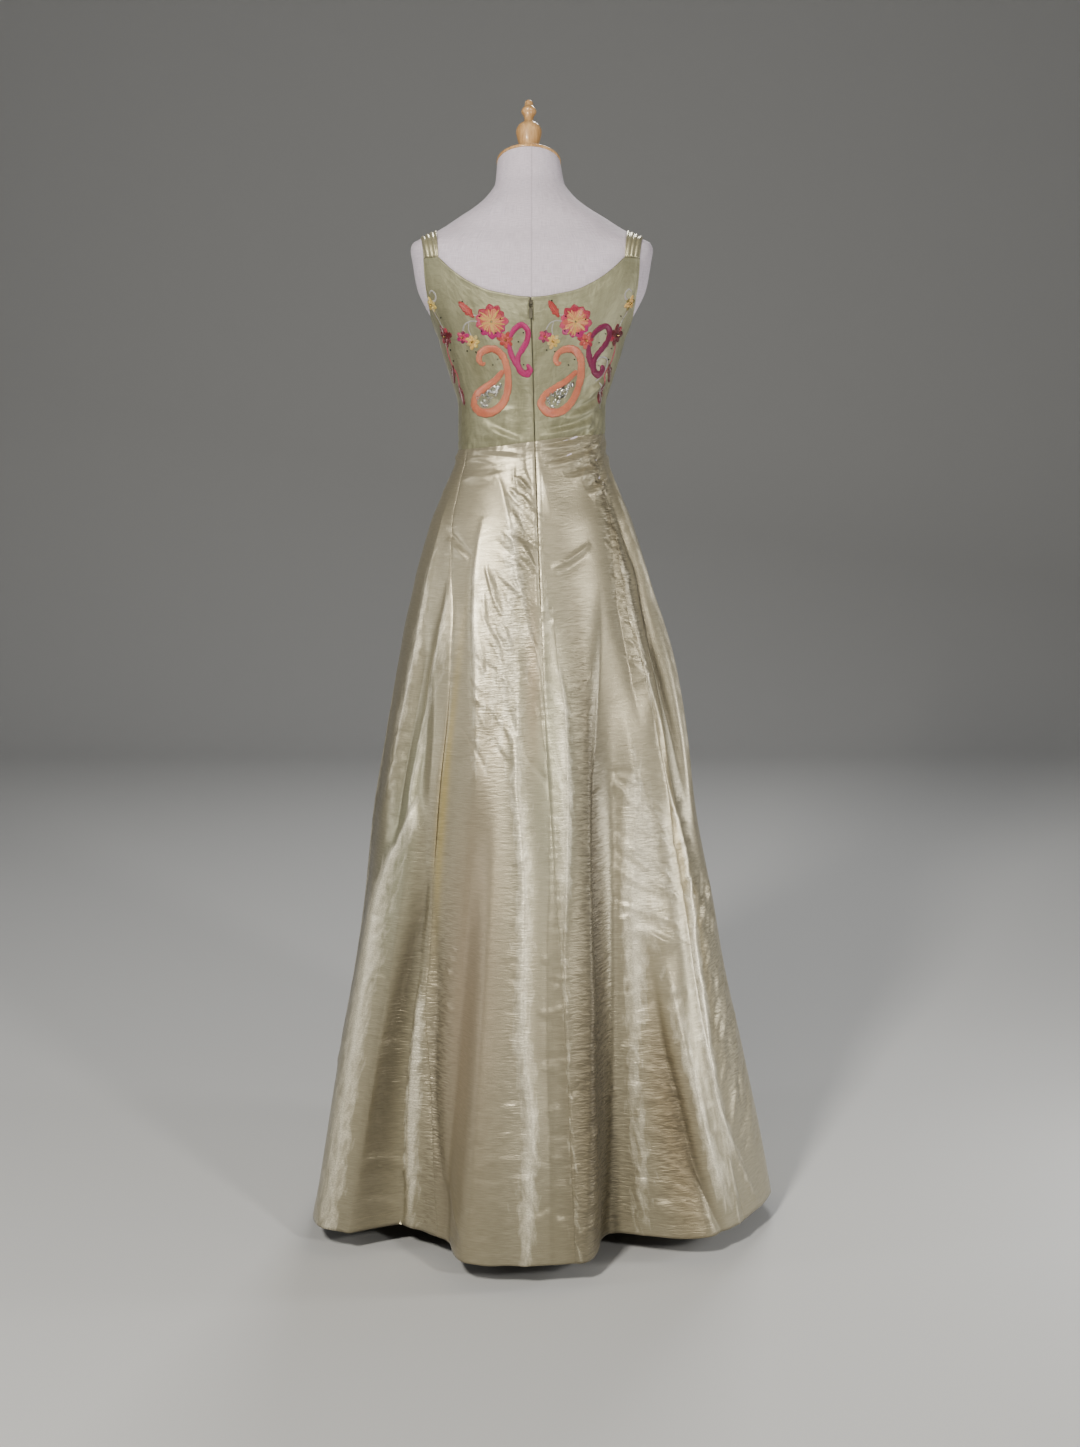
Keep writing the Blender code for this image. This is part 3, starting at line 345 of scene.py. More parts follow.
# Short creases, each straight from its top to its foot but for the bow that bends its middle
# sideways. A lean above 0 makes the side towards growing angles the steeper one. Out, half_width
# and bow are written in millimetres.
Crease = namedtuple("Crease", "name top_angle top_height foot_angle foot_height "
                              "out half_width bow lean")
CREASES = records(Crease, (
    ("right_drag", 13, 1.022, 40, 1.058, 3.8, 4, -3, 0.3),
    ("right_drag_shade", 16, 1.012, 38, 1.044, -1.3, 6, -3, 0),
    ("left_drag", -60, 1.078, -40, 1.04, -3, 4, 0, 0),
    ("left_drag_ridge", -58, 1.064, -41, 1.032, 2, 5, 0, 0),
    ("left_lobe_kink", -47, 0.146, -42, 0.102, 4, 6, 0, 0.4),
    ("left_lobe_kink_shade", -47, 0.136, -42.4, 0.094, -3, 5, 0, 0),
    ("left_hem_kink", -46.5, 0.082, -43, 0.04, 3.4, 6, 0, 0.3),
    ("centre_foot_kink", -29, 0.13, -14, 0.052, 2.8, 7, 4, 0),
    ("right_foot_v", 51, 0.846, 64, 0.872, 2.6, 5, 3, 0.3),
    ("waist_groove_a", 9, 1.2035, 56, 1.22, -4.4, 3.6, -2, 0),
    ("waist_ridge_a", 7, 1.195, 62, 1.213, 3.5, 5.2, -3, 0.3),
    ("waist_groove_b", 12, 1.18, 62, 1.205, -4.3, 4.2, -3, 0),
    ("waist_ridge_b", 16, 1.17, 68, 1.199, 4, 5.6, -3, 0.3),
    ("waist_groove_c", 28, 1.162, 70, 1.188, -4.4, 4.4, -3, 0),
    ("waist_ridge_c", 34, 1.152, 72, 1.179, 4.4, 5.2, -3, 0.3),
    ("waist_ridge_d", 46, 1.128, 71, 1.16, 4, 5, -3, 0.3),
    ("waist_groove_d", 44, 1.138, 70, 1.169, -4, 4.2, -3, 0),
    ("waist_left_a", -62, 1.193, -6, 1.19, 2.2, 4.6, 3, 0.3),
    ("waist_left_groove", -58, 1.186, -12, 1.183, -1.8, 4.4, 3, 0),
    ("waist_left_b", -67, 1.179, -34, 1.185, 1.8, 4.6, 2, 0),
    ("zip_puff", 5, 1.19, 16, 1.09, 2.4, 11, 2, 0),
    ("zip_kick_a", -16, 1.157, -0.5, 1.133, 3, 3.6, 2, 0.4),
    ("zip_kick_b", -20, 1.14, 1.5, 1.108, 3.2, 3.8, 3, 0.4),
    ("zip_kick_c", -13, 1.069, 1.6, 1.033, 3.4, 3.8, 2, 0.4),
    ("zip_kick_d", -7, 1.052, 3.2, 1.017, 3, 3.6, 2, 0.4),
    ("zip_kick_e", -15, 1.104, -4, 1.066, 3, 4, 2, 0.3),
    ("zip_end_a", 4.5, 0.958, 13, 0.962, 2, 3, 0, 0),
    ("zip_end_b", 5, 0.944, 13, 0.946, -1.6, 3, 0, 0),
    ("bodice_swoosh", -48, 1.236, -5, 1.206, 4.6, 5.6, -4, 0.4),
    ("bodice_swoosh_shade", -46, 1.246, -6, 1.215, -1.8, 5, -4, 0),
    ("bodice_left_roll", -56, 1.22, -24, 1.212, 2, 4.4, 0, 0),
    ("bodice_fold_a", 8, 1.216, 62, 1.24, 4.2, 4.8, -3, 0.3),
    ("bodice_groove_a", 10, 1.225, 60, 1.249, -3.8, 4.2, -3, 0),
    ("bodice_fold_b", 30, 1.238, 70, 1.272, 4, 5, -3, 0.3),
    ("bodice_groove_b", 34, 1.25, 70, 1.286, -3.6, 4.4, -3, 0),
    ("bodice_fold_c", 48, 1.268, 72, 1.31, 3.8, 5.2, 0, 0.3),
    ("neck_wrinkle", -9, 1.408, -1.5, 1.386, 1.2, 2.6, 0, 0),
    ("dart_left", -15, 1.32, -13, 1.212, 1.2, 3, 0, 0.6),
    ("dart_right", 30, 1.3, 32, 1.216, 1, 3.2, 0, 0.6),
    ("front_waist_a", 118, 1.196, 172, 1.182, 2.6, 5, 4, 0.3),
    ("front_waist_groove", 122, 1.187, 168, 1.174, -2.2, 4.4, 4, 0),
    ("front_waist_b", 190, 1.184, 244, 1.198, 2.8, 5, -4, 0.3),
    ("front_waist_c", 128, 1.232, 168, 1.222, 2.2, 5, 3, 0),
    ("front_waist_d", 196, 1.224, 236, 1.236, 2.2, 5, -3, 0),
    ("side_waist_left", 246, 1.186, 292, 1.178, 2.4, 5, 3, 0.2),
    ("side_waist_right", 78, 1.18, 116, 1.196, 2.6, 5, -3, 0.2),
    ("bust_drag_right", 112, 1.33, 140, 1.3, 1.8, 6, 3, 0),
    ("bust_drag_left", 220, 1.3, 248, 1.33, 1.8, 6, -3, 0),
), in_mm="out half_width bow")

# Patches of small creases that all run one way: the middle of the patch, how far it spreads,
# the way the creases run (0 across the gown, 90 down it), and their size in millimetres
Patch = namedtuple("Patch", "name angle height spread_angle spread_height heading "
                            "length out half_width count")
PATCHES = records(Patch, (
    ("beside_zip", -8, 1.07, 7, 0.11, -56, 56, 1.3, 3.4, 34),
    ("seam_puckers_high", 58.5, 1.13, 2.6, 0.065, -36, 21, 2.1, 2.4, 22),
    ("seam_puckers_low", 54.5, 0.975, 1.8, 0.11, -30, 19, 1.7, 2.2, 30),
    ("below_zip_left", -6, 0.84, 8, 0.12, -62, 50, 1, 5, 16),
    ("right_waist", 57, 1.18, 13, 0.045, 24, 42, 1.9, 3.8, 26),
    ("right_hip", 59, 1.06, 8, 0.07, 48, 32, 1.4, 4.2, 18),
    ("right_bodice", 60, 1.262, 12, 0.045, 35, 34, 1.4, 3.8, 18),
    ("left_waist", -40, 1.18, 20, 0.035, 4, 40, 0.9, 3.6, 14),
    ("left_bodice", -45, 1.24, 22, 0.03, 8, 32, 0.9, 3.6, 12),
    ("dark_slope_ribs", 24, 0.56, 6, 0.32, 14, 28, 1.2, 2.6, 130),
    ("slope_foot_ribs", 19, 0.19, 7, 0.16, 12, 30, 1.3, 3, 80),
    ("right_edge_ribs", 69, 0.33, 9, 0.22, 36, 46, 2.5, 4.4, 70),
    ("right_flank_ribs", 66, 0.56, 6, 0.12, 30, 36, 1.9, 4.2, 30),
    ("brown_hollow", 42, 0.19, 4, 0.13, -24, 28, 1.6, 3.6, 34),
    ("groove_ribs", -33, 0.26, 4.5, 0.2, -20, 22, 1.4, 3.4, 40),
    ("seam_ribs", 7.5, 0.28, 3, 0.23, 14, 20, 1.3, 3.2, 34),
    ("right_lobe_ribs", 46, 0.26, 8, 0.14, 10, 34, 1, 5, 20),
    ("left_slope_ribs", -43, 0.36, 5, 0.26, 8, 30, 0.9, 4.8, 24),
    ("left_edge_ribs", -74, 0.42, 9, 0.3, 6, 40, 1, 5.2, 26),
    ("centre_hem", -4, 0.12, 14, 0.06, 4, 40, 1, 5.2, 18),
    ("left_side_waist", 270, 1.18, 20, 0.045, -6, 36, 1.1, 4, 14),
    ("right_side_waist", 95, 1.175, 14, 0.045, -10, 36, 1.3, 4, 14),
    ("front_waist", 180, 1.175, 40, 0.035, 3, 40, 0.9, 3.8, 18),
    ("front_left_ribs", 219, 0.42, 7, 0.24, 8, 34, 1.1, 5, 30),
    ("front_right_ribs", 141, 0.42, 7, 0.24, -8, 34, 1.1, 5, 30),
    ("side_left_ribs", 260, 0.34, 8, 0.22, 8, 36, 1, 5, 24),
    ("side_right_ribs", 101, 0.34, 8, 0.22, -8, 36, 1, 5, 24),
    ("centre_band_kinks", -4, 0.45, 3, 0.4, 22, 18, 0.8, 3, 60),
    ("wedge_kinks", -21, 0.88, 7, 0.13, -60, 56, 0.9, 3.4, 40),
    ("left_lobe_kinks", -58, 0.35, 4, 0.3, 12, 22, 1.1, 3.4, 70),
    ("hip_band_kinks", -64, 0.82, 3, 0.15, 20, 18, 1, 3.2, 36),
    ("bright_patch_kinks", 47, 0.59, 7, 0.13, -36, 42, 1.6, 4.2, 56),
    ("right_band_kinks", 38, 0.29, 3, 0.22, 30, 24, 1.1, 3.2, 56),
    ("front_hem", 182, 0.13, 24, 0.07, 3, 40, 1, 5.2, 24),
), in_mm="length out half_width")
CREASE_SEED = 11
CREASE_TURN = 13.0         # how far, in degrees, the creases of a patch stray from its heading
CREASE_FALL, CREASE_TAPER, CREASE_LEAN = 1.5, 0.8, 0.45    # of its sides, its ends, and its lean
FOLD_FALL, FOLD_ROUND = 0.58, 0.03         # how a long fold's flanks fall, and its rounded top
FOLD_TOP_FADE, FOLD_FOOT = 0.01, 0.02      # it fades in below its top, and ends below its foot
# CREST, DEEPEST and LIGHTEST set the painted highlight on the long folds' ridges and the painted shade
# in their valleys
CREST = 0.0066             # the height of a long fold on which the silk is at its lightest
DEEPEST, LIGHTEST = -1.5, 1.15             # the limits of the silk's shade and gleam

# Where the taffeta is more crinkled than elsewhere, and the hollows between its ribs get more painted
# shade
Zone = namedtuple("Zone", "name angle height spread_angle spread_height strength")
CRINKLE_ZONES = records(Zone, (
    ("dark_slope", 24, 0.52, 8, 0.42, 1.6),
    ("slope_foot", 20, 0.16, 9, 0.2, 1.3),
    ("right_edge", 70, 0.36, 11, 0.26, 1),
    ("right_hip", 58, 1.08, 8, 0.16, 1.3),
    ("brown_hollow", 42, 0.18, 5, 0.16, 1.2),
    ("left_groove", -33, 0.26, 5, 0.24, 1.1),
    ("bright_patch", 48, 0.62, 7, 0.12, 0.9),
    ("beside_zip", -8, 0.98, 9, 0.24, 0.9),
    ("left_tuck", -43, 0.36, 7, 0.32, 0.6),
    ("left_edge", -76, 0.42, 12, 0.32, 0.5),
    ("front_left", 219, 0.42, 10, 0.3, 1),
    ("front_right", 141, 0.42, 10, 0.3, 1),
    ("front_waist", 180, 1.16, 46, 0.06, 0.7),
    ("bright_wedge", -20, 0.88, 9, 0.16, 0.5),
    ("centre_band", -4, 0.42, 4, 0.4, 0.4),
    ("right_waist", 40, 1.19, 26, 0.04, 1),
))
CRINKLE = 0.00027          # height of the crinkles that the mesh carries
LEAST_CRINKLED, MOST_CRINKLED = 0.05, 2.2
BILLOW = 0.0012            # height of the broad unevenness of the skirt
BROAD_SIZE, FINE_SIZE, BILLOW_SIZE = (0.034, 0.019), (0.016, 0.0105), (0.060, 0.130)
MEAN_RADIUS = 0.25         # of the skirt, by which crinkles are spread round it

# What the silk's colour is multiplied by round a place: some rows shift its hue, and many paint
# highlight and shade on it
Tint = namedtuple("Tint", "name angle height spread_angle spread_height red green blue")
TINTS = records(Tint, (
    ("seam_gold", -38.4, 0.68, 1.9, 0.19, 1.16, 1.06, 0.74),
    ("left_rose", -22, 0.4, 11, 0.3, 1.05, 0.96, 0.94),
    ("left_green", -55, 0.64, 7, 0.2, 0.96, 1.03, 1),
    ("centre_green", 6, 0.76, 12, 0.22, 0.97, 1.02, 1.01),
    ("zip_foot_rose", 1, 0.86, 4, 0.12, 1.06, 0.96, 0.93),
    # painted shade and painted highlight: the next eleven rows darken hollows, slopes, flats and the hem
    # where less light falls, and lighten crests where more falls
    ("brown_hollow", 43, 0.19, 4.5, 0.17, 0.96, 0.87, 0.76),
    ("bright_patch", 47.5, 0.58, 6.5, 0.13, 1.42, 1.42, 1.45),
    ("centre_band", -3, 0.42, 3, 0.42, 1.14, 1.14, 1.16),
    ("left_crest", -58.5, 0.34, 4, 0.3, 1.12, 1.13, 1.14),
    ("dark_slope", 24, 0.42, 7.5, 0.46, 0.66, 0.65, 0.64),
    ("slope_foot", 18, 0.19, 8.5, 0.24, 0.54, 0.51, 0.46),
    ("left_flat", -30, 0.7, 6, 0.2, 0.92, 0.92, 0.91),
    ("slope_low", 20, 0.33, 6, 0.16, 0.76, 0.75, 0.73),
    ("left_hip", -50, 1.11, 12, 0.07, 1.12, 1.12, 1.13),
    ("hem_shade", 0, 0.05, 60, 0.2, 0.86, 0.86, 0.84),
    ("left_shade", -46, 0.3, 5, 0.26, 0.8, 0.8, 0.76),
    ("right_gold", 62, 0.56, 4, 0.24, 1.1, 1.03, 0.86),
    # painted shade in valleys and on the far left edge, and a painted highlight on the hip fold: the
    # next six rows
    ("left_far_edge", -76, 0.42, 10, 0.46, 0.58, 0.58, 0.6),
    ("right_seam_shade", 57.5, 1.03, 2.6, 0.2, 0.66, 0.64, 0.61),
    ("right_hip_valley", 70, 0.92, 2.2, 0.18, 0.56, 0.55, 0.52),
    ("right_hip_fold", 64, 0.93, 2.2, 0.15, 1.12, 1.1, 1.04),
    ("left_valley_line", -46.6, 0.3, 1.5, 0.22, 0.66, 0.64, 0.6),
    ("slope_line", 27, 0.62, 3, 0.26, 0.74, 0.72, 0.7),
    ("neck_left", -24, 1.392, 14, 0.026, 1.16, 1.18, 1.2),
    ("neck_right", 24, 1.392, 16, 0.034, 1.2, 1.22, 1.24),
    ("paisley_left", -24, 1.262, 7, 0.022, 1.16, 1.16, 1.2),
    # painted shade on the bodice's right side, and a painted highlight on the strip beside the zip: the
    # next two rows
    ("right_bodice_side", 64, 1.33, 9, 0.09, 0.86, 0.83, 0.8),
    ("zip_strip", -3.6, 1.33, 2.6, 0.12, 1.2, 1.2, 1.24),
    ("left_water", -46, 1.33, 9, 0.05, 0.84, 0.82, 0.78),
    ("left_bodice_side", -74, 1.3, 12, 0.11, 0.84, 0.8, 0.76),
    ("right_water", 41, 1.285, 12, 0.045, 0.88, 0.87, 0.85),
    ("front_rose", 204, 0.48, 12, 0.3, 1.05, 0.96, 0.94),
    ("front_green", 158, 0.62, 12, 0.24, 0.97, 1.03, 1),
))

# Painted highlights on the silk away from the long folds: how strong each is, from 0 to 1
Gleam = namedtuple("Gleam", "name angle height spread_angle spread_height strength")
PAINTED_GLEAMS = records(Gleam, (
    ("right_patch", 47.5, 0.585, 6, 0.11, 0.95),
    ("right_patch_tail", 42.5, 0.4, 4, 0.1, 0.7),
    ("beside_zip", -12, 1.09, 6.5, 0.085, 0.62),
    ("below_zip", -14, 0.89, 6.5, 0.13, 0.66),
    ("right_of_zip", 7.5, 1.12, 5, 0.075, 0.62),
    ("right_of_zip_foot", 9, 0.955, 3, 0.045, 0.55),
    ("left_small_lobe", -42.5, 0.26, 2.4, 0.16, 0.45),
    ("right_hem", 52, 0.12, 5, 0.07, 0.55),
    ("front_left", 205, 0.76, 6, 0.13, 0.7),
    ("front_right", 157, 0.56, 6, 0.14, 0.7),
))


# ---------------------------------------------------------------------------- form of the cloth
def monotone(knots, values):
    """A smooth curve through the knots that never overshoots them, as a function of arrays."""
    knots, values = np.array(knots, float), np.array(values, float)
    steps = np.diff(knots)
    rises = np.diff(values) / steps
    product, total = rises[:-1] * rises[1:], rises[:-1] + rises[1:]
    inner = np.where(product > 0.0, 2.0 * product / np.where(product > 0.0, total, 1.0), 0.0)
    slopes = np.concatenate([rises[:1], inner, rises[-1:]])

    def curve(x):
        x = np.clip(x, knots[0], knots[-1])
        i = np.clip(np.searchsorted(knots, x, side="right") - 1, 0, len(steps) - 1)
        t = (x - knots[i]) / steps[i]
        ease = t * t * (3.0 - 2.0 * t)
        lead_in = t * (1.0 - t) ** 2 * steps[i] * slopes[i]
        lead_out = t * t * (t - 1.0) * steps[i] * slopes[i + 1]
        return values[i] + (values[i + 1] - values[i]) * ease + lead_in + lead_out

    return curve


def columns_of(rows):
    """One smooth curve for each column of a table, by the column's name."""
    knots = [row[0] for row in rows]
    return {field: monotone(knots, [row[i] for row in rows])
            for i, field in enumerate(rows[0]._fields) if i > 0}


FORM = columns_of(FORM_SECTIONS)
FLARE = columns_of(FLARE_SECTIONS)
SEAMS = columns_of(SEAM_ROWS)
STRAP = columns_of(STRAP_ROWS)


def bump(distance):
    """1 at no distance, falling smoothly to 0 at a distance of 1."""
    return np.maximum(0.0, 1.0 - distance * distance) ** 2


def angle_within(angle):
    """The same direction, between -180 and 180."""
    return (angle + 180.0) % 360.0 - 180.0


def form_radius(angle, height):
    across, along = np.sin(np.radians(angle)), np.cos(np.radians(angle))
    depth = np.where(along > 0.0, FORM["back"](height), FORM["front"](height))
    power = FORM["squareness"](height)
    share = (np.abs(across) / FORM["half_width"](height)) ** power
    share = share + (np.abs(along) / depth) ** power
    from_bust = (np.abs(angle_within(angle)) - BUST_ANGLE) / BUST_SPREAD_ANGLE
    above_bust = (height - BUST_HEIGHT) / BUST_SPREAD_HEIGHT
    fullness = BUST_FULLNESS * np.exp(-from_bust ** 2 - above_bust ** 2)
    return share ** (-1.0 / power) + fullness


def fold_out(angle, height):
    """How far the skirt's large folds carry the cloth out (or in)."""
    stops = []
    for fold in FOLDS:
        grown = np.maximum(0.0, (fold.start - height) / (fold.start - HEM_HEIGHT))
        place = fold.top_angle + (fold.hem_angle - fold.top_angle) * np.minimum(1.0, grown)
        stops.append((place, fold.out * grown ** FOLD_GROWTH))
    angle = (angle - stops[0][0]) % 360.0 + stops[0][0]
    stops.append((stops[0][0] + 360.0, stops[0][1]))
    out = np.zeros(np.broadcast(angle, height).shape)
    for (start, rise), (end, after) in zip(stops, stops[1:]):
        t = (angle - start) / (end - start)
        here = (t >= 0.0) & (t < 1.0)
        out = np.where(here, rise + (after - rise) * t * t * (3.0 - 2.0 * t), out)
    return out


def tuck_in(angle, height):
    """How far the short tucks pull the cloth in."""
    depth = 0.0
    for tuck in TUCKS:
        along = (tuck.top - height) / (tuck.top - tuck.bottom)
        place = tuck.top_angle + (tuck.bottom_angle - tuck.top_angle) * along
        across = angle_within(angle - place) / tuck.half_angle
        depth = depth + tuck.depth * bump(2.0 * along - 1.0) * bump(across)
    return depth


def cloth_radius(angle, height):
    """From the axis to the outside of the cloth: the form, the ease and the skirt's flare."""
    across = np.sin(np.radians(angle))
    side = np.where(across > 0.0, FLARE["right"](height), FLARE["left"](height))
    behind = np.cos(np.radians(angle)) > 0.0
    end = np.where(behind, FLARE["back"](height), FLARE["front"](height))
    flare = side * across ** 2 + end * (1.0 - across ** 2)
    folds = fold_out(angle, height) - tuck_in(angle, height)
    return form_radius(angle, np.maximum(height, HIP_HEIGHT)) + EASE + CLOTH + flare + folds


def place_at(radius, angle, height):
    turn = np.radians(angle)
    radius, turn, height = np.broadcast_arrays(radius, turn, height)
    return np.stack([radius * np.sin(turn), -radius * np.cos(turn), height], axis=-1)


def cloth_point(angle, height):
    return place_at(cloth_radius(angle, height), angle, height)


def unit(vectors):
    return vectors / np.maximum(np.linalg.norm(vectors, axis=-1, keepdims=True), 1e-12)


def cloth_normal(angle, height):
    """The direction straight out of the cloth."""
    turn, rise = 0.4, 0.002
    round_body = cloth_point(angle + turn, height) - cloth_point(angle - turn, height)
    upwards = cloth_point(angle, height + rise) - cloth_point(angle, height - rise)
    return unit(np.cross(round_body, upwards))


def waist_seam(angle):
    return WAIST_HEIGHT + WAIST_TILT * np.sin(np.radians(angle))


def gap_angle(angle, height, width):
    """The angle that a width along the cloth takes up."""
    return np.degrees(width / cloth_radius(angle, height))


# ---------------------------------------------------------------------- creases and crinkles
NOISE_CELLS = 256          # after which the hills and hollows repeat


def smooth_noise(across, up, seed):
    """Soft random hills and hollows between -1 and 1, one unit apart."""
    table = np.random.default_rng(seed).uniform(-1.0, 1.0, (NOISE_CELLS, NOISE_CELLS))
    i, j = np.floor(across).astype(int), np.floor(up).astype(int)
    u, v = across - i, up - j
    u, v = u * u * (3.0 - 2.0 * u), v * v * (3.0 - 2.0 * v)
    left, low = i % NOISE_CELLS, j % NOISE_CELLS
    right, high = (i + 1) % NOISE_CELLS, (j + 1) % NOISE_CELLS
    near = table[left, low] * (1.0 - u) + table[right, low] * u
    far = table[left, high] * (1.0 - u) + table[right, high] * u
    return near * (1.0 - v) + far * v


def small_creases():
    """The creases of all patches, each a little different."""
    rng = np.random.default_rng(CREASE_SEED)
    made = []
    for patch in PATCHES:
        radius = float(cloth_radius(patch.angle, patch.height))
        for k in range(patch.count):
            angle = patch.angle + patch.spread_angle * rng.uniform(-1.0, 1.0)
            height = patch.height + patch.spread_height * rng.uniform(-1.0, 1.0)
            heading = math.radians(patch.heading + rng.normal(0.0, CREASE_TURN))
            half = patch.length * rng.uniform(0.35, 0.75)
            turn = math.degrees(half * math.cos(heading) / radius)
            rise = half * math.sin(heading)
            out = patch.out * rng.uniform(0.4, 1.25) * (1.0 if rng.random() < 0.6 else -0.9)
            width = patch.half_width * rng.uniform(0.8, 1.3)
            made.append(Crease(f"{patch.name}_{k}", angle - turn, height - rise, angle + turn,
                               height + rise, out, width, half * rng.normal(0.0, 0.12),
                               rng.uniform(-0.5, 0.5)))
    return made


ALL_CREASES = CREASES + tuple(small_creases())
CREASE_RADII = cloth_radius(
    np.array([(crease.top_angle + crease.foot_angle) / 2.0 for crease in ALL_CREASES]),
    np.array([(crease.top_height + crease.foot_height) / 2.0 for crease in ALL_CREASES]))
CREASE_REACH = 2.6         # in half widths, beyond which a crease has died out


def crease_relief(angle, height):
    """How far the creases raise or sink the cloth."""
    shape = np.broadcast(angle, height).shape
    angle = np.broadcast_to(angle, shape).ravel()
    height = np.broadcast_to(height, shape).ravel()
    relief = np.zeros(angle.shape)
    for crease, radius in zip(ALL_CREASES, CREASE_RADII):
        run = math.radians(crease.foot_angle - crease.top_angle) * radius
        drop = crease.foot_height - crease.top_height
        length = math.hypot(run, drop)
        reach = crease.half_width * CREASE_REACH + abs(crease.bow)
        low, high = sorted((crease.top_height, crease.foot_height))
        middle = (crease.top_angle + crease.foot_angle) / 2.0
        half_turn = abs(crease.foot_angle - crease.top_angle) / 2.0 + math.degrees(reach / radius)
        near = np.flatnonzero((np.abs(angle_within(angle - middle)) < half_turn)
                              & (height > low - reach) & (height < high + reach))
        x = np.radians(angle_within(angle[near] - crease.top_angle)) * radius
        y = height[near] - crease.top_height
        along = (x * run + y * drop) / length ** 2
        across = (y * run - x * drop) / length - crease.bow * 4.0 * along * (1.0 - along)
        width = crease.half_width * (1.0 - CREASE_LEAN * crease.lean * np.sign(across))
        ends = np.sin(math.pi * np.clip(along, 0.0, 1.0)) ** CREASE_TAPER
        relief[near] += crease.out * ends * np.exp(-np.abs(across / width) ** CREASE_FALL)
    return relief.reshape(shape)


def long_crease_relief(angle, height):
    """How far the long folds raise or sink the cloth."""
    relief = 0.0
    for bends in LONG_CREASES.values():
        rising = bends[::-1]
        knots = [bend.height for bend in rising]
        middle, out, left, right = (
            monotone(knots, [getattr(bend, field) for bend in rising])(height)
            for field in ("angle", "out", "left", "right"))
        lowest, highest = knots[0], knots[-1]
        across = np.radians(angle_within(angle - middle)) * cloth_radius(middle, height)
        across = across / np.where(across < 0.0, left, right)
        lie = np.clip((highest - height) / FOLD_TOP_FADE, 0.0, 1.0)
        lie = lie * (height > lowest - FOLD_FOOT)
        crest = (across * across + FOLD_ROUND) ** FOLD_FALL - FOLD_ROUND ** FOLD_FALL
        relief = relief + out * lie * np.exp(-crest)
    return relief


def nearness(spot, angle, height):
    """1 in the middle of a zone, gleam or tint, falling off as far as it spreads each way."""
    from_middle = angle_within(angle - spot.angle) / spot.spread_angle
    above = (height - spot.height) / spot.spread_height
    return np.exp(-from_middle ** 2 - above ** 2)


def crinkle_strength(angle, height):
    """How crinkled the cloth is, from 0 to about 2; it also sets the painted shade between the ribs."""
    strength = LEAST_CRINKLED
    for zone in CRINKLE_ZONES:
        strength = strength + zone.strength * nearness(zone, angle, height)
    return np.minimum(strength, MOST_CRINKLED)


def painted_light_of(angle, height):
    """How far up a long fold or into a gleam a point lies: 1 for the fullest painted highlight, below 0
    for painted shade.
    """
    crest = long_crease_relief(angle, height) / CREST
    for gleam in PAINTED_GLEAMS:
        crest = crest + gleam.strength * nearness(gleam, angle, height)
    return np.clip(crest, DEEPEST, LIGHTEST)


def tint_and_painted_light(angle, height):
    """What the silk's colour is multiplied by, as red, green, blue and 1: hue shifts, painted highlight
    and painted shade.
    """
    tint = np.ones((*np.broadcast(angle, height).shape, 4))
    for spot in TINTS:
        share = nearness(spot, angle, height)[..., None]
        colour = np.array((spot.red, spot.green, spot.blue))
        tint[..., :3] *= 1.0 + share * (colour - 1.0)
    return tint


def crinkle_relief(angle, height):
    """The small unevenness of crisp silk, drawn out across the gown."""
    arc = np.radians(angle) * MEAN_RADIUS
    broad = smooth_noise(arc / BROAD_SIZE[0], height / BROAD_SIZE[1], 3)
    fine = smooth_noise(arc / FINE_SIZE[0] + 40.0, height / FINE_SIZE[1], 5)
    billow = smooth_noise(arc / BILLOW_SIZE[0], height / BILLOW_SIZE[1], 8)
    loose = np.clip((1.12 - height) / 0.2, 0.0, 1.0)       # the bodice is pulled smooth
    crinkles = CRINKLE * crinkle_strength(angle, height) * (broad + 0.55 * fine)
    return (0.3 + 0.7 * loose) * crinkles + BILLOW * loose * billow


def placket_relief(angle, height):
    """The strip along the zip, raised by the tape under it and sunk at its stitching."""
    from_zip = np.radians(angle_within(angle - SEAMS["centre_back"](height)))
    from_zip = np.abs(from_zip * cloth_radius(angle, height))
    ends = np.clip((height - ZIP_BOTTOM) / 0.006, 0.0, 1.0)
    strip = 0.5 - 0.5 * np.tanh((from_zip - PLACKET_HALF) / PLACKET_SOFTNESS)
    stitching = np.exp(-((from_zip - PLACKET_HALF) / PLACKET_STITCH_WIDTH) ** 2)
    return ends * (PLACKET_LIFT * strip - PLACKET_STITCH_DEPTH * stitching)


def relief(angle, height):
    return (long_crease_relief(angle, height) + crease_relief(angle, height)
            + crinkle_relief(angle, height) + placket_relief(angle, height))


def dressed(angle, height, lift=0.0):
    """Points on the creased cloth or above it, and the direction straight out of it."""
    normals = cloth_normal(angle, height)
    raised = (relief(angle, height) + lift)[..., None]
    return cloth_point(angle, height) + normals * raised, normals


# ------------------------------------------------------------------------------- mesh helpers
def grid_faces(down, across):
    """Quads over rows of points whose columns run towards growing angles."""
    a = (np.arange(down - 1)[:, None] * across + np.arange(across - 1)[None, :]).ravel()
    return np.stack([a, a + across, a + across + 1, a + 1], axis=1)


def add_mesh(name, points, faces, finish, uv=None):
    """A smooth object at the origin, with a UV position for each point."""
    mesh = bpy.data.meshes.new(name)
    mesh.from_pydata(np.asarray(points).reshape(-1, 3).tolist(), [],
                     [tuple(face) for face in faces])
    mesh.shade_smooth()
    mesh.materials.append(finish)
    if uv is not None:
        corners = np.zeros(len(mesh.loops), np.int32)
        mesh.loops.foreach_get("vertex_index", corners)
        layer = mesh.uv_layers.new(name="cloth")
        layer.data.foreach_set("uv", np.asarray(uv).reshape(-1, 2)[corners].ravel())
    piece = bpy.data.objects.new(name, mesh)
    bpy.context.scene.collection.objects.link(piece)
    return piece


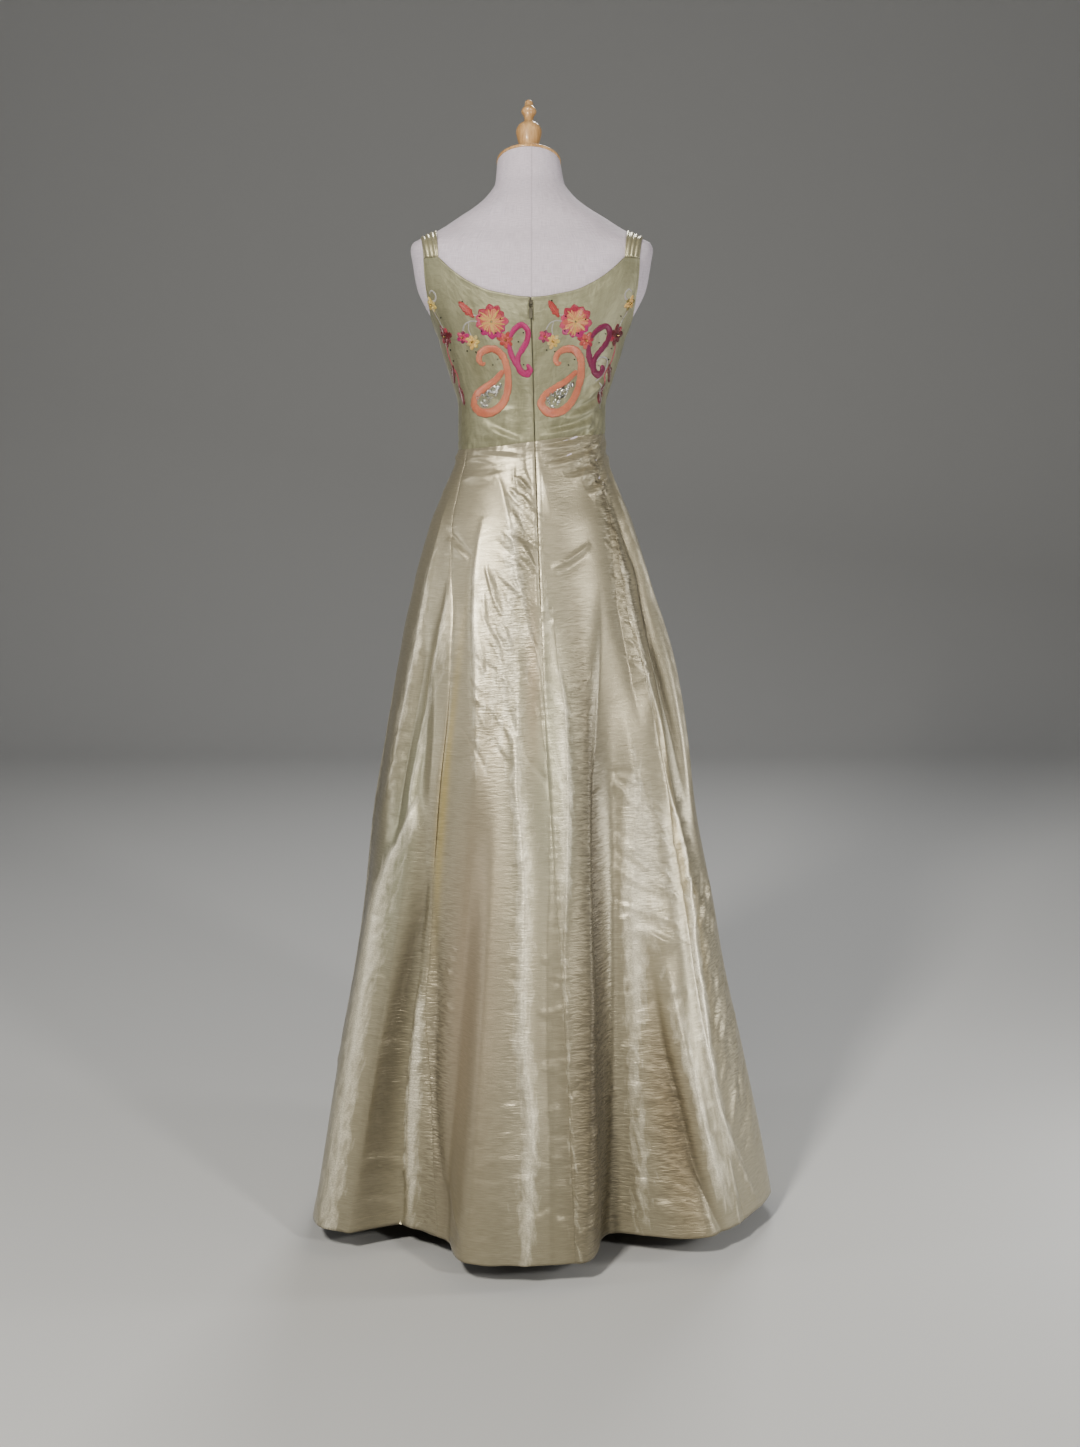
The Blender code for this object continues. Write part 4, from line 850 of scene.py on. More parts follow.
def add_attribute(piece, name, kind, values):
    values = np.asarray(values, np.float32)
    made = piece.data.attributes.new(name, kind, "POINT")
    field = {"FLOAT": "value", "FLOAT_VECTOR": "vector", "FLOAT_COLOR": "color"}[kind]
    made.data.foreach_set(field, values.ravel())


def add_shell_attribute(shell, name, kind, values):
    """Values on a cloth shell, from its outer grid; the inner one has every second of them."""
    shape = values.shape[2:]
    add_attribute(shell, name, kind, np.concatenate(
        [values.reshape(-1, *shape), values[::2, ::2].reshape(-1, *shape)]))


def tube_faces(rings, sides):
    """Quads between rings of points, each ring above the last one."""
    ring = np.arange(sides)
    after = (ring + 1) % sides
    low = (np.arange(rings - 1) * sides)[:, None]
    return np.stack([low + ring, low + after, low + sides + after, low + sides + ring],
                    axis=-1).reshape(-1, 4)


def closed_tube(rings, sides):
    """The faces of a tube of rings, with one at each end."""
    ring = np.arange(sides)
    return [tuple(ring[::-1])] + tube_faces(rings, sides).tolist() + [
        tuple((rings - 1) * sides + ring)]


def lengths_along(points, axis):
    """Distance along each row (axis 1) or column (axis 0) of points, or down a line (axis 0)."""
    steps = np.linalg.norm(np.diff(points, axis=axis), axis=-1)
    return np.insert(np.cumsum(steps, axis=axis), 0, 0.0, axis=axis)


def rim_of(down, across):
    """Indices of a grid's outline, in order."""
    rows, last = np.arange(down), down - 1
    return np.concatenate([np.arange(across), rows[1:] * across + across - 1,
                           last * across + np.arange(across - 2, -1, -1),
                           rows[last - 1:0:-1] * across])


def cloth_shell(name, outer, normals, wall, finish):
    """A closed thin wall under a grid of outer points, with UVs in metres along its threads.

    The grid has odd counts of rows and columns; the inner side has every second of each.
    """
    down, across = outer.shape[:2]
    inner = (outer - normals * np.broadcast_to(wall, (down, across))[..., None])[::2, ::2]
    rim, inner_rim = rim_of(down, across), down * across + rim_of(*inner.shape[:2])
    starts, middles, ends = rim[::2], rim[1::2], np.roll(rim[::2], -1)
    sides = np.stack([starts, middles, ends, np.roll(inner_rim, -1), inner_rim], axis=1)
    faces = (grid_faces(down, across).tolist() + sides.tolist()
             + (grid_faces(*inner.shape[:2])[:, ::-1] + down * across).tolist())
    rows = lengths_along(outer, 1)
    u = rows - rows[:, across // 2][:, None]
    v = -lengths_along(outer, 0)[:, across // 2][:, None] + np.zeros_like(u)
    uv = np.stack([u, v], axis=-1)
    both = [np.concatenate([grid.reshape(-1, grid.shape[-1]), coarse.reshape(-1, grid.shape[-1])])
            for grid, coarse in ((outer, inner), (uv, uv[::2, ::2]))]
    return add_mesh(name, both[0], faces, finish, both[1])


def odd(count):
    return int(count) // 2 * 2 + 1


def settle(piece, replaces=()):
    """Puts a finished piece on the gown's body and hides the solids that it stands for."""
    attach(piece, GOWN)
    if replaces:
        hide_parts(*replaces)
    return piece


# ------------------------------------------------------------------------------- materials
WAVE_PERIOD = 0.314        # of a wave texture at a scale of 1
SLUB, WEAVE_HEIGHT = 0.00010, 0.00003      # how high a slub and the weave stand
SILK_PALE, SILK_DEEP, SILK_WARM = (0.470, 0.427, 0.317), (0.366, 0.332, 0.243), (0.450, 0.401, 0.281)
# The lightest colour is a painted highlight for fold crests and gleams; the two darkest on the next line
# are painted shade, for the folds' valleys and for the hollows between crinkle ribs
SILK_HIGHLIGHT = (0.900, 0.842, 0.680)
SILK_FOLD_SHADE, SILK_RIB_SHADE = (0.120, 0.104, 0.074), (0.085, 0.072, 0.050)
ORGANZA_DEEP, ORGANZA_PALE = (0.250, 0.244, 0.152), (0.400, 0.388, 0.258)
ORGANZA_WATER, ORGANZA_CLOUD = (0.215, 0.210, 0.130), (0.330, 0.318, 0.210)
ORGANZA_SLUB = (0.420, 0.400, 0.285)
LINEN_DEEP, LINEN_PALE, LINEN_CLOUD = (0.560, 0.495, 0.560), (0.765, 0.700, 0.765), (0.640, 0.570, 0.600)
LINEN_FLECK, LINEN_SEAM = (0.30, 0.24, 0.22), (0.40, 0.34, 0.38)
WOOD_DEEP, WOOD_PALE, WOOD_RING = (0.430, 0.235, 0.095), (0.720, 0.470, 0.240), (0.780, 0.540, 0.300)


def add_node(tree, kind, inputs, settings):
    """A node with its settings; each input is a value, or another node's socket to link."""
    made = tree.nodes.new(kind)
    for name, value in settings.items():
        setattr(made, name, value)
    for socket, value in inputs.items():
        if isinstance(value, bpy.types.NodeSocket):
            tree.links.new(value, made.inputs[socket])
        else:
            made.inputs[socket].default_value = value
    return made


class Finish:
    """A Principled material, wired up one node at a time."""

    def __init__(self, name, **constants):
        self.material = bpy.data.materials.new(name)
        self.material.use_nodes = True
        self.tree = self.material.node_tree
        self.shader = self.tree.nodes["Principled BSDF"]
        self.normal = None
        for socket, value in constants.items():
            self.shader.inputs[socket.replace("_", " ").title().replace("Ior", "IOR")
                               ].default_value = value

    def add(self, kind, inputs, **settings):
        return add_node(self.tree, "ShaderNode" + kind, inputs, settings)

    def position(self, scale, source="cloth", turn=(0.0, 0.0, 0.0)):
        """The cloth's own UVs in metres, or the object's coordinates, stretched."""
        if source == "cloth":
            start = self.add("UVMap", {}, uv_map="cloth").outputs["UV"]
        else:
            start = self.add("TexCoord", {}).outputs["Object"]
        return self.add("Mapping", {"Vector": start, "Scale": scale,
                                    "Rotation": turn}).outputs["Vector"]

    def noise(self, where, detail=2.0, distortion=0.0, rough=0.5):
        return self.add("TexNoise", {"Vector": where, "Scale": 1.0, "Detail": detail,
                                     "Roughness": rough, "Distortion": distortion}
                        ).outputs["Fac"]

    def wave(self, where, distortion=0.0):
        return self.add("TexWave", {"Vector": where, "Scale": 1.0, "Distortion": distortion,
                                    "Detail": 1.0, "Detail Scale": 1.0},
                        wave_type="BANDS", bands_direction="X", wave_profile="SIN"
                        ).outputs["Fac"]

    def times(self, first, second):
        return self.maths("MULTIPLY", first, second)

    def multiplied(self, first, second):
        """One colour multiplied by another."""
        return self.blend(1.0, first, second, kind="MULTIPLY")

    def maths(self, operation, first, second=0.0):
        return self.add("Math", {0: first, 1: second}, operation=operation).outputs[0]

    def ramp(self, value, low, high, to_low=0.0, to_high=1.0):
        return self.add("MapRange", {"Value": value, "From Min": low, "From Max": high,
                                     "To Min": to_low, "To Max": to_high}).outputs["Result"]

    def blend(self, share, first, second, kind="MIX"):
        colours = [(*c, 1.0) if isinstance(c, tuple) else c for c in (first, second)]
        return self.add("Mix", {0: share, 6: colours[0], 7: colours[1]},
                        data_type="RGBA", blend_type=kind).outputs[2]

    def attribute(self, name, output="Fac"):
        return self.add("Attribute", {}, attribute_name=name).outputs[output]

    def colour(self, value):
        if isinstance(value, tuple):
            self.shader.inputs["Base Color"].default_value = (*value, 1.0)
        else:
            self.tree.links.new(value, self.shader.inputs["Base Color"])

    def roughness(self, value):
        self.tree.links.new(value, self.shader.inputs["Roughness"])

    def raise_by(self, height, distance):
        """Adds relief too fine for the mesh, as high as distance where height is 1."""
        inputs = {"Height": height, "Distance": distance, "Strength": 1.0}
        if self.normal is not None:
            inputs["Normal"] = self.normal
        self.normal = self.add("Bump", inputs).outputs["Normal"]
        self.tree.links.new(self.normal, self.shader.inputs["Normal"])


def woven(finish, thread, height):
    """Plain weave: threads over and under, thread metres apart."""
    scale = WAVE_PERIOD / thread
    warp = finish.wave(finish.position((scale, 0.0, 0.0)))
    weft = finish.wave(finish.position((0.0, scale, 0.0), turn=(0.0, 0.0, -math.pi / 2.0)))
    finish.raise_by(finish.times(warp, weft), height)


def taffeta_finish(name, tint=(1.0, 1.0, 1.0)):
    """Crisp shot silk: a grainy metallic sheen, short slubs and fine crinkles, with painted highlight on
    crests and painted shade in hollows.
    """
    finish = Finish(name, Metallic=0.50, Sheen_Weight=0.10, Sheen_Roughness=0.40,
                    Specular_IOR_Level=0.6)
    slub = finish.noise(finish.position((60.0, 640.0, 1.0)), detail=3.0)
    grain = finish.noise(finish.position((330.0, 520.0, 1.0)), detail=2.0, rough=0.7)
    streak = finish.noise(finish.position((40.0, 210.0, 1.0)), detail=3.0)
    cloud = finish.noise(finish.position((7.0, 5.0, 1.0)), detail=2.0)
    ribs = finish.noise(finish.position((60.0, 290.0, 1.0), turn=(0.0, 0.0, -0.14)),
                        detail=2.0, distortion=0.5)
    strength = finish.attribute("crinkle")
    pale, deep, warm, lightest = (
        tuple(c * t for c, t in zip(colour, tint))
        for colour in (SILK_PALE, SILK_DEEP, SILK_WARM, SILK_HIGHLIGHT))
    base = finish.blend(finish.ramp(slub, 0.30, 0.72), deep, pale)
    base = finish.blend(finish.ramp(cloud, 0.35, 0.75, 0.0, 0.45), base, warm)
    # the tint shifts the hue in places and lays painted highlight and painted shade in others
    base = finish.multiplied(base, finish.attribute("tint", "Color"))
    # painted highlight: lighter up the long folds and in the gleams, with ragged, grainy edges
    crest = finish.attribute("crest")
    ragged = finish.noise(finish.position((90.0, 30.0, 1.0)), detail=4.0, distortion=0.5,
                          rough=0.58)
    edge = finish.maths("ADD", crest, finish.ramp(ragged, 0.3, 0.7, -0.36, 0.36))
    painted_highlight = finish.times(finish.ramp(edge, 0.38, 1.04),
                       finish.ramp(grain, 0.36, 0.60, 0.40, 0.90))
    base = finish.blend(painted_highlight, base, lightest)
    # painted shade: darker down in the long folds' valleys
    sunk = finish.times(finish.maths("MINIMUM", crest, 0.0), -0.34)
    base = finish.blend(sunk, base, SILK_FOLD_SHADE)
    # painted shade: the low parts of the crinkles' ribs darker, the more crinkled the cloth is
    painted_rib_shade = finish.times(finish.ramp(ribs, 0.36, 0.56, 0.34, 0.0), strength)
    finish.colour(finish.blend(painted_rib_shade, base, SILK_RIB_SHADE))
    gloss = finish.maths("ADD", finish.ramp(streak, 0.3, 0.7, 0.30, 0.40),
                         finish.times(strength, 0.085))
    finish.roughness(finish.maths("ADD", gloss, finish.times(painted_highlight, 0.06)))
    finish.raise_by(finish.times(ribs, strength), 0.0014)
    finish.raise_by(slub, SLUB)
    finish.raise_by(grain, SLUB)
    woven(finish, 0.0007, WEAVE_HEIGHT)
    return finish.material


def organza_finish():
    """Fine sheer organza laid flat over the silk, with a soft watered look."""
    finish = Finish("organza", Metallic=0.34, Roughness=0.44, Sheen_Weight=0.15,
                    Sheen_Roughness=0.5)
    bands = finish.noise(finish.position((46.0, 5.0, 1.0)), detail=2.0, distortion=0.3)
    water = finish.noise(finish.position((60.0, 26.0, 1.0), turn=(0.0, 0.0, 0.5)),
                         detail=2.0, distortion=2.6)
    cloud = finish.noise(finish.position((14.0, 9.0, 1.0)), detail=3.0)
    slub = finish.noise(finish.position((40.0, 700.0, 1.0)), detail=2.0)
    base = finish.blend(finish.ramp(bands, 0.30, 0.70), ORGANZA_DEEP, ORGANZA_PALE)
    base = finish.blend(finish.ramp(water, 0.42, 0.62, 0.0, 0.55), base, ORGANZA_WATER)
    base = finish.blend(finish.ramp(cloud, 0.35, 0.7, 0.0, 0.5), base, ORGANZA_CLOUD)
    base = finish.blend(finish.ramp(slub, 0.4, 0.8, 0.0, 0.3), base, ORGANZA_SLUB)
    # the tint lays painted shade on the bodice's right side and a painted highlight beside the zip,
    # besides paler and darker tones of the organza
    finish.colour(finish.multiplied(base, finish.attribute("tint", "Color")))
    finish.roughness(finish.ramp(cloud, 0.3, 0.7, 0.36, 0.52))
    crinkle = finish.noise(finish.position((70.0, 110.0, 1.0)), detail=3.0, distortion=0.4)
    finish.raise_by(crinkle, 0.0008)
    finish.raise_by(bands, 0.0009)
    finish.raise_by(slub, SLUB)
    woven(finish, 0.0005, WEAVE_HEIGHT)
    return finish.material


def thread_finish():
    """Rayon satin stitch: closely laid shiny threads, in the colour of each shape."""
    finish = Finish("embroidery_thread", Roughness=0.36, Sheen_Weight=0.35,
                    Sheen_Roughness=0.3, Specular_IOR_Level=0.7)
    threads = finish.wave(finish.position((WAVE_PERIOD / 0.0008, 0.0, 0.0)), distortion=0.5)
    drift = finish.noise(finish.position((900.0, 60.0, 1.0)), detail=2.0)
    own = finish.attribute("thread_colour", "Color")
    patchy = finish.noise(finish.position((34.0, 34.0, 1.0)), detail=2.0)
    own = finish.blend(finish.ramp(patchy, 0.42, 0.66, 0.0, 0.55), own,
                       finish.multiplied(own, (0.82, 0.56, 0.58)))
    dark = finish.multiplied(own, (0.60, 0.55, 0.55))
    base = finish.blend(finish.ramp(threads, 0.0, 0.75, 0.0, 1.0), dark, own)
    light = finish.multiplied(base, (1.25, 1.22, 1.20))
    finish.colour(finish.blend(finish.ramp(drift, 0.45, 0.75), base, light))
    finish.raise_by(threads, 0.00022)
    return finish.material


def plain_finish(name, colour, wear=0.12, **constants):
    """A simple surface whose colour and gloss drift a little."""
    finish = Finish(name, **constants)
    drift = finish.noise(finish.position((60.0, 60.0, 60.0), "object"), detail=4.0)
    dark = tuple(c * (1.0 - wear) for c in colour)
    light = tuple(min(1.0, c * (1.0 + wear)) for c in colour)
    finish.colour(finish.blend(drift, dark, light))
    gloss = constants.get("Roughness", 0.5)
    finish.roughness(finish.ramp(drift, 0.3, 0.7, gloss * 0.85, gloss * 1.15))
    return finish.material


def tape_finish():
    finish = Finish("zip_tape", Roughness=0.75, Sheen_Weight=0.2)
    ribs = finish.wave(finish.position((WAVE_PERIOD / 0.0012, 0.0, 0.0),
                                       turn=(0.0, 0.0, 0.6)))
    finish.colour(finish.blend(ribs, (0.34, 0.31, 0.21), (0.46, 0.42, 0.30)))
    finish.raise_by(ribs, 0.0002)
    return finish.material


def linen_finish():
    """The form's cover: pale stretched linen with uneven threads and a few dark flecks."""
    finish = Finish("linen", Roughness=0.85, Sheen_Weight=0.15, Sheen_Roughness=0.6)
    long_threads = finish.noise(finish.position((1400.0, 60.0, 1.0)), detail=2.0)
    cross_threads = finish.noise(finish.position((60.0, 1400.0, 1.0)), detail=2.0)
    cloud = finish.noise(finish.position((14.0, 14.0, 1.0)), detail=3.0)
    fleck = finish.noise(finish.position((420.0, 420.0, 1.0)), detail=1.0)
    threads = finish.maths("ADD", long_threads, cross_threads)
    base = finish.blend(finish.ramp(threads, 0.75, 1.25), LINEN_DEEP, LINEN_PALE)
    base = finish.blend(finish.ramp(cloud, 0.3, 0.8, 0.0, 0.35), base, LINEN_CLOUD)
    base = finish.blend(finish.ramp(fleck, 0.80, 0.86, 0.0, 0.6), base, LINEN_FLECK)
    place = finish.add("SeparateXYZ", {"Vector": finish.position((1.0, 1.0, 1.0), "object")})
    from_seam = finish.maths("ABSOLUTE", place.outputs["X"])
    finish.colour(finish.blend(finish.ramp(from_seam, 0.0004, 0.0016, 0.45, 0.0), base,
                               LINEN_SEAM))
    finish.raise_by(threads, 0.00016)
    woven(finish, 0.0009, 0.00006)
    return finish.material


def wood_finish():
    """Pale turned wood under clear varnish, its grain along the finial's axis."""
    finish = Finish("varnished_wood", Roughness=0.42, Coat_Weight=0.5, Coat_Roughness=0.16)
    grain = finish.position((260.0, 260.0, 22.0), "object",
                            turn=(math.radians(NECK_TILT), 0.0, 0.0))
    streak = finish.noise(grain, detail=4.0, distortion=0.6, rough=0.6)
    ring = finish.noise(finish.position((40.0, 40.0, 10.0), "object"), detail=2.0)
    base = finish.blend(finish.ramp(streak, 0.32, 0.70), WOOD_DEEP, WOOD_PALE)
    finish.colour(finish.blend(finish.ramp(ring, 0.35, 0.7, 0.0, 0.4), base, WOOD_RING))
    finish.roughness(finish.ramp(streak, 0.2, 0.8, 0.34, 0.50))
    finish.raise_by(streak, 0.00012)
    return finish.material


TAFFETA = taffeta_finish("taffeta")
# The straps' silk is paler than the skirt's: partly their own tone, partly a painted highlight for the
# light their tops catch
STRAP_SILK = taffeta_finish("strap_taffeta", tint=(1.20, 1.24, 1.16))
ORGANZA = organza_finish()
THREAD = thread_finish()
SEWING = plain_finish("sewing_thread", (0.42, 0.38, 0.25), Roughness=0.6)
TAPE = tape_finish()
TEETH = plain_finish("zip_teeth", (0.30, 0.27, 0.19), Roughness=0.45)
ZIP_METAL = plain_finish("zip_metal", (0.17, 0.16, 0.12), 0.3, Roughness=0.42, Metallic=0.8)
SILVER = plain_finish("silver_beads", (0.78, 0.78, 0.76), Roughness=0.16, Metallic=1.0)
JET = plain_finish("jet_beads", (0.012, 0.012, 0.014), Roughness=0.12)
GILT = plain_finish("gilt_beads", (0.75, 0.55, 0.22), Roughness=0.2, Metallic=1.0)
LINEN = linen_finish()
WOOD = wood_finish()
STAND = plain_finish("powder_coat", (0.045, 0.045, 0.048), 0.25, Roughness=0.5, Metallic=0.2)


# ------------------------------------------------------------------------------- the skirt
def seam_relief(from_seam, run):
    """A seam sinks into its groove, and puckers a little beside it."""
    dip = -SEAM_DIP * np.exp(-(from_seam / SEAM_REACH) ** 2)
    wobble = smooth_noise(run / 0.05, np.zeros_like(run), 21)
    pucker = np.sin(2.0 * math.pi * (run / PUCKER_PITCH + 0.8 * wobble))
    return dip + PUCKER * pucker * np.exp(-(from_seam / PUCKER_REACH) ** 2)


def waist_relief(from_waist, angle):
    """The waist seam's groove, with the small gathers that hang from it."""
    groove = -SEAM_DIP * np.exp(-(from_waist / SEAM_REACH) ** 2)
    run = np.radians(angle) * WAIST_RADIUS
    wobble = smooth_noise(run / 0.06, np.zeros_like(run), 23)
    gathers = np.sin(2.0 * math.pi * (run / GATHER_PITCH + 1.6 * wobble))
    uneven = np.maximum(0.0, 0.35 + smooth_noise(run / 0.035, np.zeros_like(run), 27))
    return groove + GATHER_LIFT * uneven * gathers * np.exp(-(from_waist / GATHER_REACH) ** 2)


def hem_relief(above_hem):
    """The line of stitching pulls the cloth in, above the doubled hem."""
    stitching = np.exp(-((above_hem - HEM_DEPTH) / HEM_STITCH_WIDTH) ** 2)
    return 0.3 * HEM_LIFT * (above_hem < HEM_DEPTH) - HEM_STITCH_DEPTH * stitching


def seam_gap(seam, height):
    """Between the two sides of a seam: sewn shut, or parting over the zip."""
    parted = (seam == "centre_back") * np.clip((height - ZIP_BOTTOM) / 0.004, 0.0, 1.0)
    return SEWN_GAP + (ZIP_SLIT - SEWN_GAP) * parted


HEM_WAVE = 0.0012              # how far the hem's edge wanders up and down
HEM_WAVE_REACH = 0.05          # how far up that is felt


def make_gore(gore):
    """One gore of the skirt between its two seams, from the waist to the hem."""
    down = np.linspace(0.0, 1.0, odd(gore.rows))[:, None] ** ROW_CROWDING
    level = WAIST_HEIGHT + (HEM_HEIGHT - WAIST_HEIGHT) * down
    first, last = SEAMS[gore.first_seam](level), SEAMS[gore.last_seam](level) + gore.lap
    first = first + gap_angle(first, level, seam_gap(gore.first_seam, level) / 2.0)
    last = last - gap_angle(last, level, seam_gap(gore.last_seam, level) / 2.0)
    even = np.linspace(0.0, 1.0, 41)[None, :]
    arc = lengths_along(cloth_point(first + (last - first) * even, level), 1)[:, -1][:, None]
    near = np.array(EDGE_INSETS)[None, :] / arc
    inset = near[:, -1:]
    middle = np.linspace(0.0, 1.0, odd(arc.max() / gore.column))[None, 1:-1]
    share = np.concatenate([near, inset + (1.0 - 2.0 * inset) * middle, 1.0 - near[:, ::-1]],
                           axis=1)
    angle = first + (last - first) * share
    top = waist_seam(angle) - SEWN_GAP / 2.0
    height = top + (HEM_HEIGHT - top) * down
    from_seam = np.minimum(share, 1.0 - share) * arc
    above_hem = height - HEM_HEIGHT
    lift = seam_relief(from_seam, height) + hem_relief(above_hem)
    lift = lift + waist_relief(top - height, angle)
    outer, normals = dressed(angle, height, lift)
    outer[..., 2] += HEM_WAVE * smooth_noise(angle / 5.0, height * 0.0, 31) * bump(
        np.minimum(above_hem / HEM_WAVE_REACH, 1.0))
    wall = WEAVE + HEM_LIFT * (above_hem < HEM_DEPTH)
    cloth = cloth_shell(gore.name + "_cloth", outer, normals, wall, TAFFETA)
    add_shell_attribute(cloth, "crest", "FLOAT", painted_light_of(angle, height))
    add_shell_attribute(cloth, "crinkle", "FLOAT", crinkle_strength(angle, height))
    add_shell_attribute(cloth, "tint", "FLOAT_COLOR", tint_and_painted_light(angle, height))
    settle(cloth, [gore.name])
    cloth_point(angle, height)


# ------------------------------------------------------------------------------- the bodice
DEGREE_SPAN = 0.002        # about what a degree takes up round the bodice


def angle_at(across, height, towards_front):
    """The angle at which the cloth lies this far from the middle, on its back or front half."""
    near, far = (180.0, 90.0) if towards_front else (0.0, 90.0)
    for _ in range(30):
        middle = (near + far) / 2.0
        if abs(cloth_point(middle, height)[0]) < across:
            near = middle
        else:
            far = middle
    return (near + far) / 2.0


def resampled(edge, count):
    """Points evenly spaced along an edge given as angles and heights, ends included."""
    edge = np.array(edge, float)
    lengths = lengths_along(cloth_point(edge[:, 0], edge[:, 1]), 0)
    at = np.linspace(0.0, lengths[-1], count + 1)
    return np.stack([np.interp(at, lengths, edge[:, k]) for k in (0, 1)], axis=1)


def rounded_edge(table, towards_front):
    """An edge table as angles and heights, with a smooth curve through its points."""
    points = np.array([(angle_at(x, z, towards_front), z) for x, z in table])
    knots = lengths_along(points * (DEGREE_SPAN, 1.0), 0)
    at = np.linspace(0.0, knots[-1], 8 * len(table))
    return np.stack([monotone(knots, points[:, k])(at) for k in (0, 1)], axis=1)


def joined(stretches, counts):
    """Resampled stretches of the top edge end to end, each corner kept."""
    made = [resampled(stretch, count) for stretch, count in zip(stretches, counts)]
    return np.concatenate([made[0]] + [piece[1:] for piece in made[1:]])


BODICE_ROWS = 83


def bodice_panel(name, edge, foot_start, foot_end):
    """A bodice panel from its top edge down to the waist seam, with a seam on either side."""
    top_angle, top_height = edge[None, :, 0], edge[None, :, 1]
    even = np.linspace(0.0, 1.0, edge.shape[0])[None, :]
    true = (top_angle - top_angle[:, :1]) / (top_angle[:, -1:] - top_angle[:, :1])
    share = true + (even - true) * 0.5
    foot_angle = foot_start + (foot_end - foot_start) * share
    foot_height = waist_seam(foot_angle) + SEWN_GAP / 2.0
    drop = top_height - foot_height
    near = np.array(EDGE_INSETS)[:, None] / drop
    inset = near[-1:]
    between = inset + (1.0 - 2.0 * inset) * np.linspace(0.0, 1.0, BODICE_ROWS)[1:-1, None]
    down = np.concatenate([near, between, 1.0 - near[::-1]])
    angle = top_angle + (foot_angle - top_angle) * down
    height = top_height - drop * down
    rows = lengths_along(cloth_point(angle, height), 1)
    from_top, from_waist = down * drop, (1.0 - down) * drop
    lift = waist_relief(from_waist, angle)
    for from_seam in (rows, rows[:, -1:] - rows):
        lift = lift + seam_relief(from_seam, height)
    rim = RIM_LIFT * np.exp(-((from_top - RIM / 2.0) / (RIM / 2.2)) ** 2)
    lift = lift + rim - RIM_ROUND * np.exp(-(from_top / RIM_ROUND_REACH) ** 2)
    outer, normals = dressed(angle, height, lift)
    wall = WEAVE + RIM_WALL * (from_top < RIM)
    panel = cloth_shell(name + "_cloth", outer, normals, wall, ORGANZA)
    add_shell_attribute(panel, "tint", "FLOAT_COLOR", tint_and_painted_light(angle, height))
    settle(panel, [name])
    cloth_point(angle, height)


def make_bodice():
    """Two back panels that meet at the zip, and one front panel."""
    neck = rounded_edge(BACK_NECKLINE, False)
    arm = rounded_edge(BACK_ARMHOLE, False)
    zip_top = float(SEAMS["centre_back"](NECKLINE_HEIGHT))
    zip_foot = float(SEAMS["centre_back"](WAIST_HEIGHT))
    gap_top = gap_angle(0.0, NECKLINE_HEIGHT, ZIP_SLIT / 2.0)
    gap_foot = gap_angle(0.0, WAIST_HEIGHT, ZIP_SLIT / 2.0)
    gap_side = gap_angle(90.0, SIDE_TOP_HEIGHT, SEWN_GAP / 2.0)
    seam = SIDE_SEAM_ANGLE - gap_side
    for side, hand in (("left", -1.0), ("right", 1.0)):
        own_neck = neck * (hand, 1.0)
        own_neck[0] = (zip_top + hand * gap_top, NECKLINE_HEIGHT)
        own_arm = np.concatenate([arm, [(seam, SIDE_TOP_HEIGHT)]]) * (hand, 1.0)
        edge = joined((own_neck, [own_neck[-1], own_arm[0]], own_arm), (58, 10, 42))
        feet = [zip_foot + hand * gap_foot, hand * seam]
        if hand < 0.0:
            edge, feet = edge[::-1], feet[::-1]
        bodice_panel("bodice_back_" + side, edge, *feet)
    arm = np.concatenate([[(SIDE_SEAM_ANGLE + gap_side, SIDE_TOP_HEIGHT)],
                          rounded_edge(FRONT_ARMHOLE, True)])
    neck = rounded_edge(FRONT_NECKLINE, True)
    half = joined((arm, [arm[-1], neck[0]], neck), (42, 10, 60))
    other = (half[:-1] * (-1.0, 1.0) + (360.0, 0.0))[::-1]
    bodice_panel("bodice_front", np.concatenate([half, other]), half[0, 0], other[-1, 0])


# ------------------------------------------------------------------------------- the straps
STRAP_LENGTHWISE, STRAP_COLUMNS = 84, 30
STRAP_PLEATS = 3.5             # lengthwise folds across the strap
STRAP_PLEAT_HEIGHT = 0.0011
STRAP_UNEVEN = 0.00035         # height of the small hollows between the pleats
STRAP_ROUND, STRAP_ROUND_SHARE = 0.0011, 0.07      # how far its edges fall, and over what share
STRAP_HALVINGS = 24            # of the range in which a point over the shoulder is sought


def inside_form(x, y, height):
    depth = np.where(y < 0.0, FORM["back"](height), FORM["front"](height))
    power = FORM["squareness"](height)
    across = np.abs(x) / FORM["half_width"](height)
    return across ** power + (np.abs(y) / depth) ** power < 1.0


def shoulder_point(across, turn, lift):
    """Points over the shoulder, cast from inside it: 0 degrees is back, 90 up, 180 front."""
    y0, z0 = STRAP_PIVOT
    dy, dz = -np.cos(np.radians(turn)), np.sin(np.radians(turn))
    near, far = np.zeros_like(across), np.full_like(across, 0.2)
    for _ in range(STRAP_HALVINGS):
        middle = (near + far) / 2.0
        inside = inside_form(across, y0 + dy * middle, z0 + dz * middle)
        near, far = np.where(inside, middle, near), np.where(inside, far, middle)
    reach = near + lift
    return np.stack([across, y0 + dy * reach, z0 + dz * reach], axis=-1)


def turn_at_height(across, height, on_front, lift):
    """The turn over the shoulder at which the strap's surface is at a height."""
    low = np.full_like(across, 180.0 if on_front else 0.0)
    high = np.full_like(across, 90.0)
    for _ in range(STRAP_HALVINGS):
        middle = (low + high) / 2.0
        below = shoulder_point(across, middle, lift)[..., 2] < height
        low, high = np.where(below, middle, low), np.where(below, high, middle)
    return (low + high) / 2.0


